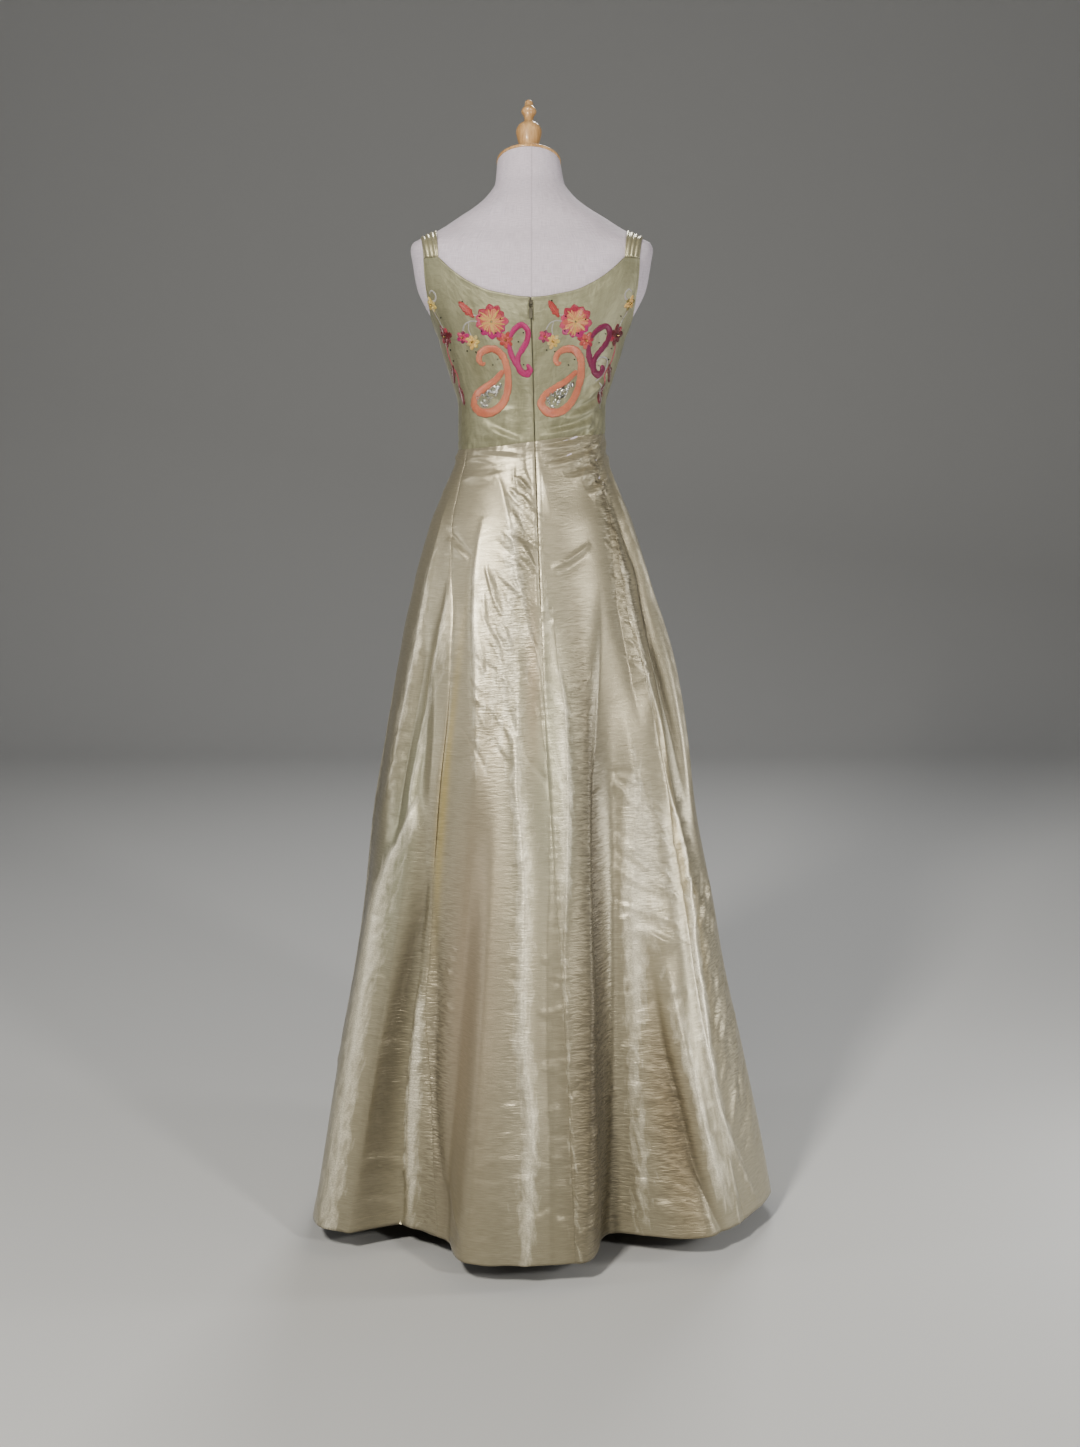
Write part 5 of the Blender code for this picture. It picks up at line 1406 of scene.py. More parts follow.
def make_strap(name, hand):
    """A strap over one shoulder, its silk gathered into a few lengthwise folds."""
    share = np.linspace(0.0, 1.0, STRAP_LENGTHWISE + 1)[:, None]
    across_share = np.linspace(0.0, 1.0, STRAP_COLUMNS + 1)[None, :]
    inner, outer = STRAP["inner"](share), STRAP["outer"](share)
    across = inner + (outer - inner) * across_share
    flat = CLOTH + EASE - (EASE - STRAP_EASE) * bump(2.0 * share - 1.0) + 0.0 * across
    start = turn_at_height(across[:1], BACK_NECKLINE[-1][1] + SEAM_GAP, False, flat[:1])
    end = turn_at_height(across[-1:], FRONT_NECKLINE[0][1] + SEAM_GAP, True, flat[-1:])
    turn = start + (end - start) * share
    drift = 0.35 * smooth_noise(share * 5.0 + 0.0 * across, 0.0 * across, 41)
    wave = np.cos(2.0 * math.pi * (STRAP_PLEATS * across_share + drift))
    pleat = STRAP_PLEAT_HEIGHT * (wave - 0.5 * np.abs(wave))
    small = STRAP_UNEVEN * smooth_noise(share * 26.0 + 0.0 * across, across_share * 6.0 + drift, 43)
    from_edge = np.minimum(across_share, 1.0 - across_share)
    edge = -STRAP_ROUND * np.exp(-(from_edge / STRAP_ROUND_SHARE) ** 2)
    smooth = shoulder_point(across, turn, flat)
    folded = shoulder_point(across, turn, flat + pleat + small + edge)
    for points in (smooth, folded):
        points[..., 0] *= hand
    if hand > 0.0:
        smooth, folded = smooth[:, ::-1], folded[:, ::-1]
    rows = np.gradient(smooth, axis=0)
    columns = np.gradient(smooth, axis=1)
    normals = unit(np.cross(rows, columns))
    strap = cloth_shell(name + "_cloth", folded, normals, WEAVE, STRAP_SILK)
    count = len(strap.data.vertices)
    # a light crinkling, so a little painted shade between the ribs; no painted fold highlight or shade,
    # and no tint
    add_attribute(strap, "crinkle", "FLOAT", np.full(count, 0.3))
    add_attribute(strap, "crest", "FLOAT", np.zeros(count))
    add_attribute(strap, "tint", "FLOAT_COLOR", np.ones((count, 4)))
    settle(strap, [name])


# --------------------------------------------------------------------- the form and its stand
FORM_SIDES, FORM_ROWS = 144, 150
COVER_SEAMS = (0.0, 48.0, 92.0, 134.0, 180.0, 226.0, 268.0, 312.0)
COVER_SEAM_WIDTH, COVER_SEAM_DEPTH = 0.0032, 0.0004
FORM_CROWDING = 1.25           # how much closer its rows lie at the neck
FORM_SHARP, TURNED_SHARP = 40.0, 42.0      # degrees above which an edge stays sharp
FORM_MEAN_RADIUS = 0.12        # by which widths round the form are taken


def make_torso():
    """The linen-covered form, smooth up to the leaning neck, with the cover's seams."""
    share = np.linspace(0.0, 1.0, FORM_ROWS + 1)[:, None]
    level = FORM_BOTTOM + (NECK_TOP - FORM_BOTTOM) * (1.0 - (1.0 - share) ** FORM_CROWDING)
    angle = np.linspace(0.0, 360.0, FORM_SIDES + 1)[None, :-1]
    lean = np.maximum(0.0, (level - NECK_BEND_HEIGHT) / (NECK_TOP - NECK_BEND_HEIGHT))
    tilt = np.radians(NECK_TILT * lean)
    degree = np.radians(FORM_MEAN_RADIUS)
    groove = sum(np.exp(-(angle_within(angle - seam) * degree / COVER_SEAM_WIDTH) ** 2)
                 for seam in COVER_SEAMS)
    radius = form_radius(angle, level) - COVER_SEAM_DEPTH * groove
    flat = place_at(radius, angle, 0.0 * level)
    points = np.stack([NECK_CENTRE[0] * lean + flat[..., 0],
                       NECK_CENTRE[1] * lean + flat[..., 1] * np.cos(tilt),
                       level - flat[..., 1] * np.sin(tilt)], axis=-1)
    faces = closed_tube(FORM_ROWS + 1, FORM_SIDES)
    uv = np.stack([np.radians(angle_within(angle)) * FORM_MEAN_RADIUS + 0.0 * level,
                   level + 0.0 * angle], axis=-1)
    torso = add_mesh("form_torso_cover", points, faces, LINEN, uv)
    torso.data.set_sharp_from_angle(angle=math.radians(FORM_SHARP))
    settle(torso, ["form_torso"])


def turned(name, profile, sides, finish, tilt=0.0, base=(0.0, 0.0, 0.0)):
    """A turned piece: radius and height pairs from its tip down, spun about its own axis."""
    radius, height = np.array(profile, float).T
    turns = np.radians(np.linspace(0.0, 360.0, sides + 1)[:-1])
    x = radius[:, None] * np.cos(turns)
    y = radius[:, None] * np.sin(turns)
    z = height[:, None] + 0.0 * x
    c, s = math.cos(math.radians(tilt)), math.sin(math.radians(tilt))
    points = np.stack([x, y * c + z * s, z * c - y * s], axis=-1) + base
    faces = [face[::-1] for face in closed_tube(len(profile), sides)]
    piece = add_mesh(name, points, faces, finish)
    piece.data.set_sharp_from_angle(angle=math.radians(TURNED_SHARP))
    return piece


SPAN_STEPS, RIM_STEPS = 6, 5   # between two points of a profile, and round a rounded edge


def curve_profile(profile):
    """A turned profile with a smooth curve through its points."""
    knots = np.arange(len(profile))
    at = np.linspace(0.0, len(profile) - 1.0, (len(profile) - 1) * SPAN_STEPS + 1)
    return [(float(r), float(h)) for r, h in
            zip(*(monotone(knots, [p[k] for p in profile])(at) for k in (0, 1)))]


def rounded_rim(radius, low, high, soften):
    """Half a rounded edge, from the top face out and down to the bottom face."""
    turns = [math.pi / 2.0 * k / RIM_STEPS for k in range(RIM_STEPS + 1)]
    top = [(radius - soften + soften * math.sin(t), high - soften + soften * math.cos(t))
           for t in turns]
    return top + [(r, low + high - h) for r, h in reversed(top)]


def make_neck():
    """The domed wooden cap on the neck, and the turned finial on the cap."""
    lean = math.radians(NECK_TILT)
    axis = np.array([0.0, math.sin(lean), math.cos(lean)])
    neck = np.array([*NECK_CENTRE, NECK_TOP])
    dome = curve_profile([(0.0005, CAP_DOME), (0.016, 0.0178), (0.030, 0.0135),
                          (0.040, 0.0090), (0.0460, 0.0060)])
    rim = rounded_rim(CAP_RADIUS, 0.0, CAP_RIM + 0.0002, 0.0012)
    cap = turned("neck_cap_turned", dome + rim + [(0.0005, 0.0)], 96, WOOD, NECK_TILT,
                 neck + axis * SEAM_GAP)
    settle(cap, ["neck_cap"])
    from_tip = ((0.0003, 0.0), (0.0045, 0.0015), (0.0062, 0.0050), (0.0068, 0.0100),
                (0.0115, 0.0195), (0.0080, 0.0270), (0.0068, 0.0330), (0.0085, 0.0395),
                (0.0170, 0.0470), (0.0195, 0.0550), (0.0170, 0.0690), (0.0145, 0.0790),
                (0.0155, 0.0860), (0.0155, FINIAL_LENGTH))
    profile = [(r, FINIAL_LENGTH - h) for r, h in curve_profile(from_tip)]
    finial = turned("finial_turned", profile + [(0.0005, 0.0)], 72, WOOD, NECK_TILT,
                    neck + axis * (SEAM_GAP * 2.0 + CAP_DOME))
    settle(finial, ["finial"])


def make_stand():
    """The round pole, and the heavy base plate that it stands on."""
    foot = BASE_THICKNESS + SEAM_GAP
    pole = turned("form_pole_round", rounded_rim(POLE_RADIUS, foot, FORM_BOTTOM - SEAM_GAP,
                                                 0.0008), 64, STAND)
    settle(pole, ["form_pole"])
    plate = turned("form_base_plate", rounded_rim(BASE_RADIUS, 0.0, BASE_THICKNESS, 0.003),
                   128, STAND)
    settle(plate, ["form_base"])


# ------------------------------------------------------- small repeated things, by node trees
def socket_input(tree, name, kind, default=None):
    made = tree.interface.new_socket(name, in_out="INPUT", socket_type="NodeSocket" + kind)
    if default is not None:
        made.default_value = default


SUBDIVISIONS = {"round": 2, "grain": 1}


def repeat_tree(name, shape, on_path):
    """Small solids at points, or evenly along a path, lying on the cloth.

    Each point has the vectors out, straight out of the cloth, and along, in which the solid's
    length lies. Named inputs give the solid's Length and Width, its Pitch on a path, its Turn
    from along, and its Material.
    """
    tree = bpy.data.node_groups.new(name, "GeometryNodeTree")
    socket_input(tree, "Geometry", "Geometry")
    for label, value in (("Length", 0.002), ("Width", 0.001), ("Pitch", 0.003), ("Turn", 0.0)):
        socket_input(tree, label, "Float", value)
    socket_input(tree, "Material", "Material")
    tree.interface.new_socket("Geometry", in_out="OUTPUT", socket_type="NodeSocketGeometry")

    def add(kind, inputs, **settings):
        return add_node(tree, kind, inputs, settings)

    given = add("NodeGroupInput", {}).outputs
    points = given["Geometry"]
    if on_path:
        curve = add("GeometryNodeMeshToCurve", {"Mesh": points}).outputs["Curve"]
        points = add("GeometryNodeResampleCurve", {"Curve": curve, "Length": given["Pitch"]},
                     mode="LENGTH").outputs["Curve"]
    size = add("ShaderNodeCombineXYZ", {"X": given["Length"], "Y": given["Width"],
                                        "Z": given["Width"]}).outputs["Vector"]
    if shape in SUBDIVISIONS:
        solid = add("GeometryNodeMeshIcoSphere",
                    {"Radius": 0.5, "Subdivisions": SUBDIVISIONS[shape]}).outputs["Mesh"]
    else:
        upright = add("GeometryNodeMeshCylinder", {"Vertices": 8, "Radius": 0.5, "Depth": 1.0}
                      ).outputs["Mesh"]
        solid = add("GeometryNodeTransform", {"Geometry": upright, "Rotation":
                                              (0.0, math.pi / 2.0, 0.0)}).outputs["Geometry"]
    solid = add("GeometryNodeTransform", {"Geometry": solid, "Scale": size}
                ).outputs["Geometry"]
    turn = add("ShaderNodeCombineXYZ", {"Z": given["Turn"]}).outputs["Vector"]
    solid = add("GeometryNodeTransform", {"Geometry": solid, "Rotation": turn}
                ).outputs["Geometry"]
    outwards, along = (add("GeometryNodeInputNamedAttribute", {"Name": label},
                           data_type="FLOAT_VECTOR").outputs["Attribute"]
                       for label in ("out", "along"))
    rotation = add("FunctionNodeAlignRotationToVector", {"Vector": outwards}, axis="Z"
                   ).outputs["Rotation"]
    rotation = add("FunctionNodeAlignRotationToVector",
                   {"Rotation": rotation, "Vector": along}, axis="X", pivot_axis="Z"
                   ).outputs["Rotation"]
    placed = add("GeometryNodeInstanceOnPoints", {"Points": points, "Instance": solid,
                                                  "Rotation": rotation}).outputs["Instances"]
    real = add("GeometryNodeRealizeInstances", {"Geometry": placed}).outputs["Geometry"]
    coated = add("GeometryNodeSetMaterial", {"Geometry": real, "Material": given["Material"]}
                 ).outputs["Geometry"]
    add("NodeGroupOutput", {"Geometry": coated})
    return tree


STITCH_TREE = repeat_tree("stitches_on_path", "grain", True)
TOOTH_TREE = repeat_tree("teeth_on_path", "round", True)
ROUND_BEADS = repeat_tree("round_beads_on_points", "round", False)
BUGLE_BEADS = repeat_tree("bugle_beads_on_points", "bugle", False)


def repeat_on(name, tree, points, outwards, along, finish, paths=(), **inputs):
    """Runs a tree on points, or on paths given as ranges of them, into a plain mesh."""
    edges = [(i, i + 1) for start, end in paths for i in range(start, end - 1)]
    mesh = bpy.data.meshes.new(name)
    mesh.from_pydata(np.asarray(points).tolist(), edges, [])
    piece = bpy.data.objects.new(name, mesh)
    bpy.context.scene.collection.objects.link(piece)
    add_attribute(piece, "out", "FLOAT_VECTOR", outwards)
    add_attribute(piece, "along", "FLOAT_VECTOR", along)
    modifier = piece.modifiers.new("repeat", "NODES")
    modifier.node_group = tree
    values = {**inputs, "Material": finish}
    for item in tree.interface.items_tree:
        if item.in_out == "INPUT" and item.name in values:
            modifier[item.identifier] = values[item.name]
    evaluated = piece.evaluated_get(bpy.context.evaluated_depsgraph_get())
    made = bpy.data.meshes.new_from_object(evaluated)
    piece.modifiers.remove(modifier)
    piece.data = made
    made.name = name
    made.shade_smooth()
    return settle(piece)


def surface_path(angle, height, lift):
    """Points of a path on the creased cloth, with the vectors out and along."""
    points, outwards = dressed(angle, height, lift)
    return points, outwards, unit(np.gradient(points, axis=0))


STITCH_LENGTH, STITCH_WIDTH, STITCH_PITCH = 0.0023, 0.00042, 0.0030
STITCH_LIFT = 0.00005          # of the stitches' middle, above the cloth


def make_stitching():
    """Machine stitching round the hem, beside the zip and across its lower end."""
    hem_angle = np.linspace(-180.0, 180.0, 1800, endpoint=False)
    hem = surface_path(hem_angle, np.full_like(hem_angle, HEM_HEIGHT + HEM_DEPTH), STITCH_LIFT)
    stretches = [hem]
    up = np.linspace(ZIP_BOTTOM, NECKLINE_HEIGHT - 0.006, 260)
    for hand in (-1.0, 1.0):
        middle = SEAMS["centre_back"](up)
        angle = middle + hand * gap_angle(middle, up, PLACKET_HALF)
        stretches.append(surface_path(angle, up, STITCH_LIFT))
    foot = float(SEAMS["centre_back"](ZIP_BOTTOM))
    half = float(gap_angle(foot, ZIP_BOTTOM, PLACKET_HALF))
    across = np.linspace(foot - half, foot + half, 20)
    stretches.append(surface_path(across, np.full_like(across, ZIP_BOTTOM), STITCH_LIFT))
    ends = np.cumsum([0] + [len(points) for points, _, _ in stretches])
    points, outwards, along = (np.concatenate(parts) for parts in zip(*stretches))
    repeat_on("machine_stitching", STITCH_TREE, points, outwards, along, SEWING,
              paths=list(zip(ends, ends[1:])), Length=STITCH_LENGTH, Width=STITCH_WIDTH,
              Pitch=STITCH_PITCH)


# ------------------------------------------------------------------------------- the zip
TAPE_WALL, TAPE_GAP, TAPE_HALF_WIDTH = 0.0006, 0.0010, 0.011
TOOTH_LENGTH, TOOTH_WIDTH, TOOTH_PITCH = 0.0042, 0.0009, 0.0014
TEETH_INSET, TEETH_RISE = 0.004, 0.0003    # from the tape's ends, and above it


def make_zip():
    """The tape behind the centre back seam, with its coil of teeth up the middle."""
    height = np.linspace(ZIP_TOP, ZIP_BOTTOM, 241)[:, None]
    middle = SEAMS["centre_back"](height)
    across = np.linspace(-1.0, 1.0, 13)[None, :]
    angle = middle + gap_angle(middle, height, TAPE_HALF_WIDTH) * across
    level = height + 0.0 * angle
    normals = cloth_normal(angle, level)
    outer = cloth_point(angle, level) - normals * (CLOTH + TAPE_GAP)
    tape = cloth_shell("zip_tape_woven", outer, normals, TAPE_WALL, TAPE)
    settle(tape, ["zip_tape"])
    up = np.linspace(ZIP_BOTTOM + TEETH_INSET, ZIP_TOP - TEETH_INSET, 400)
    centre = SEAMS["centre_back"](up)
    outwards = cloth_normal(centre, up)
    points = cloth_point(centre, up) - outwards * (CLOTH + TAPE_GAP - TEETH_RISE)
    teeth = repeat_on("zip_teeth", TOOTH_TREE, points, outwards,
                      unit(np.gradient(points, axis=0)), TEETH, paths=[(0, len(up))],
                      Length=TOOTH_LENGTH, Width=TOOTH_WIDTH, Pitch=TOOTH_PITCH,
                      Turn=math.pi / 2.0)
    for node in ("zip_slider", "zip_pull"):
        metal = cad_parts[node]
        metal.data.materials.clear()
        metal.data.materials.append(ZIP_METAL)


# ------------------------------------------------------------------------------- embroidery
SALMON, CORAL, MAGENTA = (0.68, 0.26, 0.155), (0.60, 0.15, 0.12), (0.52, 0.05, 0.20)
CRIMSON, ROSE, PLUM = (0.46, 0.055, 0.090), (0.60, 0.095, 0.17), (0.27, 0.030, 0.105)
RED, DARK_RED, GOLD = (0.50, 0.085, 0.070), (0.17, 0.022, 0.030), (0.74, 0.50, 0.18)
PEACH, YELLOW, PALE_GOLD = (0.78, 0.40, 0.20), (0.68, 0.53, 0.17), (0.62, 0.52, 0.24)
SILVER_CORD, OLIVE = (0.50, 0.50, 0.48), (0.24, 0.20, 0.06)

# The motif's curves, in millimetres from the middle of its large flower: to the right, and up.
# Each point also has the half width of the satin stitch there.
Stop = namedtuple("Stop", "right up half")


def stops_of(*rows):
    return records(Stop, rows, in_mm="right up half")


PAISLEY = stops_of(
    (-15, -58, 1.8), (-19, -61, 3.2), (-23.5, -57, 4.2), (-22.5, -47.5, 4.8), (-12, -40, 5.4),
    (1.5, -40, 5.6), (12, -50, 5.7), (16.5, -68, 5.4), (16.5, -87, 5.4), (12, -106, 5.6),
    (2, -122, 6.2), (-14, -131.5, 6.7), (-31, -130, 6.8), (-40.5, -119, 6.4), (-35, -106, 5.8),
    (-21, -96, 5.2), (-4, -85, 4.8), (11, -70, 3.6))
HOOK = stops_of(
    (25, -23, 2.8), (35, -10, 4.2), (46, -5, 4.5), (54, -12.5, 4.4), (52.5, -26, 4.3),
    (44, -39, 4.2), (36, -50, 4.1), (34, -61, 4.3), (38, -72, 5), (46.5, -75.5, 5.6),
    (52, -69, 5), (48, -61, 2.8))
HOOK_STRAND = stops_of(
    (22, -30, 3), (25.5, -48, 4.6), (33, -66, 4))
CORDS = (
    stops_of((38, -56, 1.1), (44, -50, 1.2), (56, -52, 1.2), (58, -64, 1.2), (50, -78, 1.2),
             (41, -85, 1)),
    stops_of((48, -86, 1), (54, -100, 1.2), (60, -113, 1.1), (61, -126, 0.8)),
)
STEMS = (
    stops_of((-29, 12, 0.9), (-24, 9.5, 1), (-17, 9, 0.9)),
    stops_of((-44, -13, 0.9), (-39, -3, 1), (-31, 1, 1), (-17, 0, 0.9)),
    stops_of((-33, 0, 0.8), (-34.5, -12, 0.9), (-31, -22, 0.8)),
)
# Jet beads, in metres from the same middle
JET_BEADS = ((0.047, -0.016), (0.038, -0.029), (0.043, -0.062), (0.004, -0.054),
             (-0.027, -0.043), (-0.004, -0.062), (-0.040, -0.041), (0.0135, 0.0040),
             (-0.0150, -0.0130), (0.0050, -0.0160), (-0.0160, 0.0080), (-0.0380, 0.0300))
FLOWER_REACH = 0.0200          # of the large flower, within which beads lie on its petals

# Curling stems and leaves beside the armholes
SPRAY_CURL = stops_of(
    (0, 62, 0.8), (-7, 66, 1.2), (-12, 60, 1.4), (-8, 52, 1.4), (1, 50, 1.2), (5, 42, 1),
    (2, 22, 0.8), (0, 8, 0.8))
SPRAY_STEM = stops_of(
    (1, -8, 1), (5, -26, 1.2), (2, -44, 1.2), (-4, -56, 1.2), (-2, -72, 1), (6, -90, 0.6))

Bead = namedtuple("Bead", "kind tree finish length width")
BEADS = (
    Bead("jet", ROUND_BEADS, JET, 0.0021, 0.0021),
    Bead("gilt", ROUND_BEADS, GILT, 0.0030, 0.0030),
    Bead("bugle", BUGLE_BEADS, SILVER, 0.0046, 0.0011),
)
BEAD_SEAT = 0.42               # a bead's middle above the cloth, in its widths

# Where the motif is worked round the bodice
Motif = namedtuple("Motif", "angle height scale hook star")
MOTIFS = (
    Motif(-30.3, 1.3825, 1.00, MAGENTA, RED), Motif(33.1, 1.3825, 1.00, PLUM, CRIMSON),
    Motif(149.0, 1.3560, 0.88, PLUM, CRIMSON), Motif(211.0, 1.3560, 0.88, MAGENTA, RED),
)
Spray = namedtuple("Spray", "angle height hand")
SPRAYS = (
    Spray(-69.0, 1.3640, -1.0), Spray(67.0, 1.3660, 1.0),
    Spray(-108.0, 1.3400, 1.0), Spray(108.0, 1.3400, -1.0),
)
DOME, FINE_DOME = 0.0011, 0.0006       # how high satin stitch and single threads stand
SUNK = 0.0004                          # how far their underside sinks into the cloth
STEP = 0.0016                          # between two rings of points along a strip
UNEVEN, UNEVEN_PITCH = 0.12, 0.0021    # how much the hand-worked edges wander, and how often
STRANDS = 34                           # threads strewn over a large flower
STREWN_BEADS, JET_SHARE = 110, 0.07    # in a paisley, and how many of them are jet
PETAL = ((0.0, 0.35), (0.3, 0.8), (0.62, 1.0), (0.86, 0.7), (1.0, 0.25))   # place and width
EMBROIDERY_SEED = 7


class Threadwork:
    """Raised thread shapes laid on the bodice, gathered into one mesh."""

    RING = 10

    def __init__(self):
        self.places, self.faces, self.uv, self.colours = [], [], [], []
        self.beads = {"jet": [], "gilt": [], "bugle": []}
        self.count = 0

    def at(self, spot, right, up):
        """The angle and height of a place on the motif."""
        height = spot.height + up * spot.scale
        radius = cloth_radius(spot.angle, height)
        return spot.angle + np.degrees(right * spot.scale / radius), height

    def strip(self, spot, stops, colour, dome=DOME, lift=0.0, lengthwise=False):
        """Satin stitch along a smooth path through the stops, domed across, its ends round."""
        table = np.array([tuple(stop) for stop in stops], float)
        knots = lengths_along(table[:, :2], 0)
        count = max(8, int(knots[-1] / STEP))
        at = np.linspace(0.0, knots[-1], count)
        right, up = smooth_path(knots, table[:, :2], at).T
        half = np.interp(at, knots, table[:, 2])
        half = half * (1.0 + UNEVEN * smooth_noise(at / UNEVEN_PITCH, 0.0 * at + self.count, 51))
        from_end = np.minimum(at, knots[-1] - at) / np.maximum(half, 1e-6)
        half = half * np.sqrt(np.clip(from_end * (2.0 - from_end), 0.02, 1.0)
                              ) ** (from_end < 1.0)
        tangent = unit(np.stack([np.gradient(right), np.gradient(up)], axis=1))
        turns = np.linspace(0.0, 2.0 * math.pi, self.RING, endpoint=False)
        sideways, rise = np.cos(turns)[None, :], np.sin(turns)[None, :]
        rights = right[:, None] - tangent[:, 1:] * half[:, None] * sideways
        ups = up[:, None] + tangent[:, :1] * half[:, None] * sideways
        angle, height = self.at(spot, rights, ups)
        raised = np.where(rise > 0.0, dome * rise, SUNK * rise) * np.minimum(
            1.0, half[:, None] / 0.0015)
        ring = np.arange(self.RING)
        quads = np.roll(tube_faces(count, self.RING)[:, ::-1], 1, axis=1) + self.count
        ends = [tuple(self.count + ring),
                tuple(self.count + (count - 1) * self.RING + ring[::-1])]
        along = at[:, None] + 0.0 * sideways
        aside = half[:, None] * sideways
        uv = (aside, along) if lengthwise else (along, aside)
        self.places.append(np.stack([angle, height, raised + lift], axis=-1).reshape(-1, 3))
        self.faces += quads.tolist() + ends
        self.uv.append(np.stack(uv, axis=-1).reshape(-1, 2))
        self.colours.append(np.tile((*colour, 1.0), (count * self.RING, 1)))
        self.count += count * self.RING

    def petal(self, spot, right, up, heading, length, half, colour, start=0.0, **extra):
        """A pointed or round petal from a centre, heading in degrees from the right."""
        way = np.array([math.cos(math.radians(heading)), math.sin(math.radians(heading))])
        stops = []
        for share, width in PETAL:
            reach = start + (length - start) * share
            stops.append(Stop(right + way[0] * reach, up + way[1] * reach, half * width))
        self.strip(spot, stops, colour, lengthwise=True, **extra)

    def flower(self, spot, right, up, radius, petals, colours, turn=0.0):
        """A small star of pointed petals, its colours by turns, with a gilt bead."""
        for k in range(petals):
            reach = radius * (1.0 + 0.12 * math.sin(2.7 * k + turn))
            self.petal(spot, right, up, turn + 360.0 * k / petals, reach,
                       radius * 2.1 / petals, colours[k % len(colours)], start=radius * 0.08)
            self.petal(spot, right, up, turn + 360.0 * (k + 0.5) / petals, radius * 0.62,
                       radius * 1.2 / petals, colours[-1], start=radius * 0.08, lift=0.0005)
        self.beads["gilt"].append((*self.at(spot, right, up), 0.0, 0.0014))

    def leaf(self, spot, right, up, heading, length, half, colour, vein):
        """A toothed leaf with a paler vein."""
        way = np.array([math.cos(math.radians(heading)), math.sin(math.radians(heading))])
        self.petal(spot, right, up, heading, length, half, colour)
        for k in range(4):
            reach = length * (0.18 + 0.17 * k)
            for side in (-1.0, 1.0):
                self.petal(spot, right + way[0] * reach, up + way[1] * reach,
                           heading + side * 42.0, half * (1.75 - 0.22 * k), half * 0.34, colour)
        self.petal(spot, right, up, heading, length * 0.9, 0.0008, vein, dome=FINE_DOME,
                   lift=0.0009)

    def bead(self, kind, spot, right, up, heading=0.0, lift=0.0):
        self.beads[kind].append((*self.at(spot, right, up), heading, lift))

    def build(self):
        points, _ = dressed(*np.concatenate(self.places).T)
        piece = add_mesh("bodice_embroidery", points, self.faces, THREAD,
                         np.concatenate(self.uv))
        add_attribute(piece, "thread_colour", "FLOAT_COLOR", np.concatenate(self.colours))
        settle(piece)


def smooth_path(knots, points, at):
    """A Catmull-Rom curve through points at their knots."""
    slopes = np.gradient(points, knots, axis=0)
    i = np.clip(np.searchsorted(knots, at, side="right") - 1, 0, len(knots) - 2)
    step = (knots[i + 1] - knots[i])[:, None]
    t = ((at - knots[i]) / step[:, 0])[:, None]
    ease = t * t * (3.0 - 2.0 * t)
    lead_in = t * (1.0 - t) ** 2 * step * slopes[i]
    lead_out = t * t * (t - 1.0) * step * slopes[i + 1]
    return points[i] + (points[i + 1] - points[i]) * ease + lead_in + lead_out


def large_flower(work, spot, rng):
    """Two uneven rings of petals, with threads strewn out from the middle over them."""
    for k in range(11):
        heading = 360.0 * k / 11 + rng.uniform(-5.0, 5.0)
        upper, lower = 35.0 < heading % 360.0 < 150.0, 200.0 < heading % 360.0 < 330.0
        shade = CRIMSON if upper else MAGENTA if lower else ROSE
        work.petal(spot, 0.0, 0.0, heading, rng.uniform(0.0225, 0.0265), 0.0074, shade,
                   start=0.006)
    for k in range(10):
        work.petal(spot, 0.0, 0.0, 36.0 * k + rng.uniform(-6.0, 6.0),
                   rng.uniform(0.0165, 0.0205), 0.0062, (SALMON, CORAL)[k % 2], start=0.002,
                   lift=0.0005)
    for k in range(STRANDS):
        heading = math.radians(360.0 * k / STRANDS + rng.uniform(-8.0, 8.0))
        reach, bow = rng.uniform(0.0120, 0.0215), rng.uniform(-0.35, 0.35)
        stops = [Stop(share * reach * math.cos(heading + bow * share),
                      share * reach * math.sin(heading + bow * share), 0.00085)
                 for share in (0.08, 0.4, 0.75, 1.0)]
        work.strip(spot, stops, (PEACH, GOLD, YELLOW)[k % 3], dome=FINE_DOME, lift=0.0013)


def work_motif(work, spot, rng):
    """One repeat: a large flower, three small ones, a hook, and a paisley filled with beads."""
    for stem in STEMS:
        work.strip(spot, stem, SILVER_CORD, dome=FINE_DOME)
    work.leaf(spot, -0.0250, 0.0060, 127.0, 0.0300, 0.0052, RED, CORAL)
    work.flower(spot, 0.0185, -0.0265, 0.0125, 7, (spot.star, RED, CORAL), turn=12.0)
    large_flower(work, spot, rng)
    work.flower(spot, -0.0450, -0.0215, 0.0102, 6, (MAGENTA, PLUM, ROSE), turn=20.0)
    work.flower(spot, -0.0310, -0.0285, 0.0112, 7, (YELLOW, PALE_GOLD, GOLD), turn=0.0)
    work.strip(spot, HOOK_STRAND, spot.hook)
    work.strip(spot, HOOK, spot.hook, lift=0.0002)
    work.strip(spot, PAISLEY, SALMON)
    if spot.hook == PLUM:
        for cord in CORDS:
            work.strip(spot, cord, SILVER_CORD, dome=FINE_DOME * 1.4, lift=0.0004)
    for right, up in JET_BEADS:
        on_flower = math.hypot(right, up) < FLOWER_REACH
        work.bead("jet", spot, right, up, lift=0.0018 if on_flower else 0.0)
    for _ in range(STREWN_BEADS):           # inside the paisley
        along, aside = rng.uniform(0.0, 1.0), rng.uniform(-1.0, 1.0)
        half = 0.0105 * (1.0 - along) ** 0.7 + 0.001
        right = -0.0290 + 0.0350 * along - 0.58 * aside * half
        up = -0.1190 + 0.0300 * along + 0.82 * aside * half
        kind = "jet" if rng.random() < JET_SHARE else "bugle"
        work.bead(kind, spot, right, up, heading=rng.uniform(0.0, 180.0),
                  lift=rng.uniform(0.0, 0.0006))


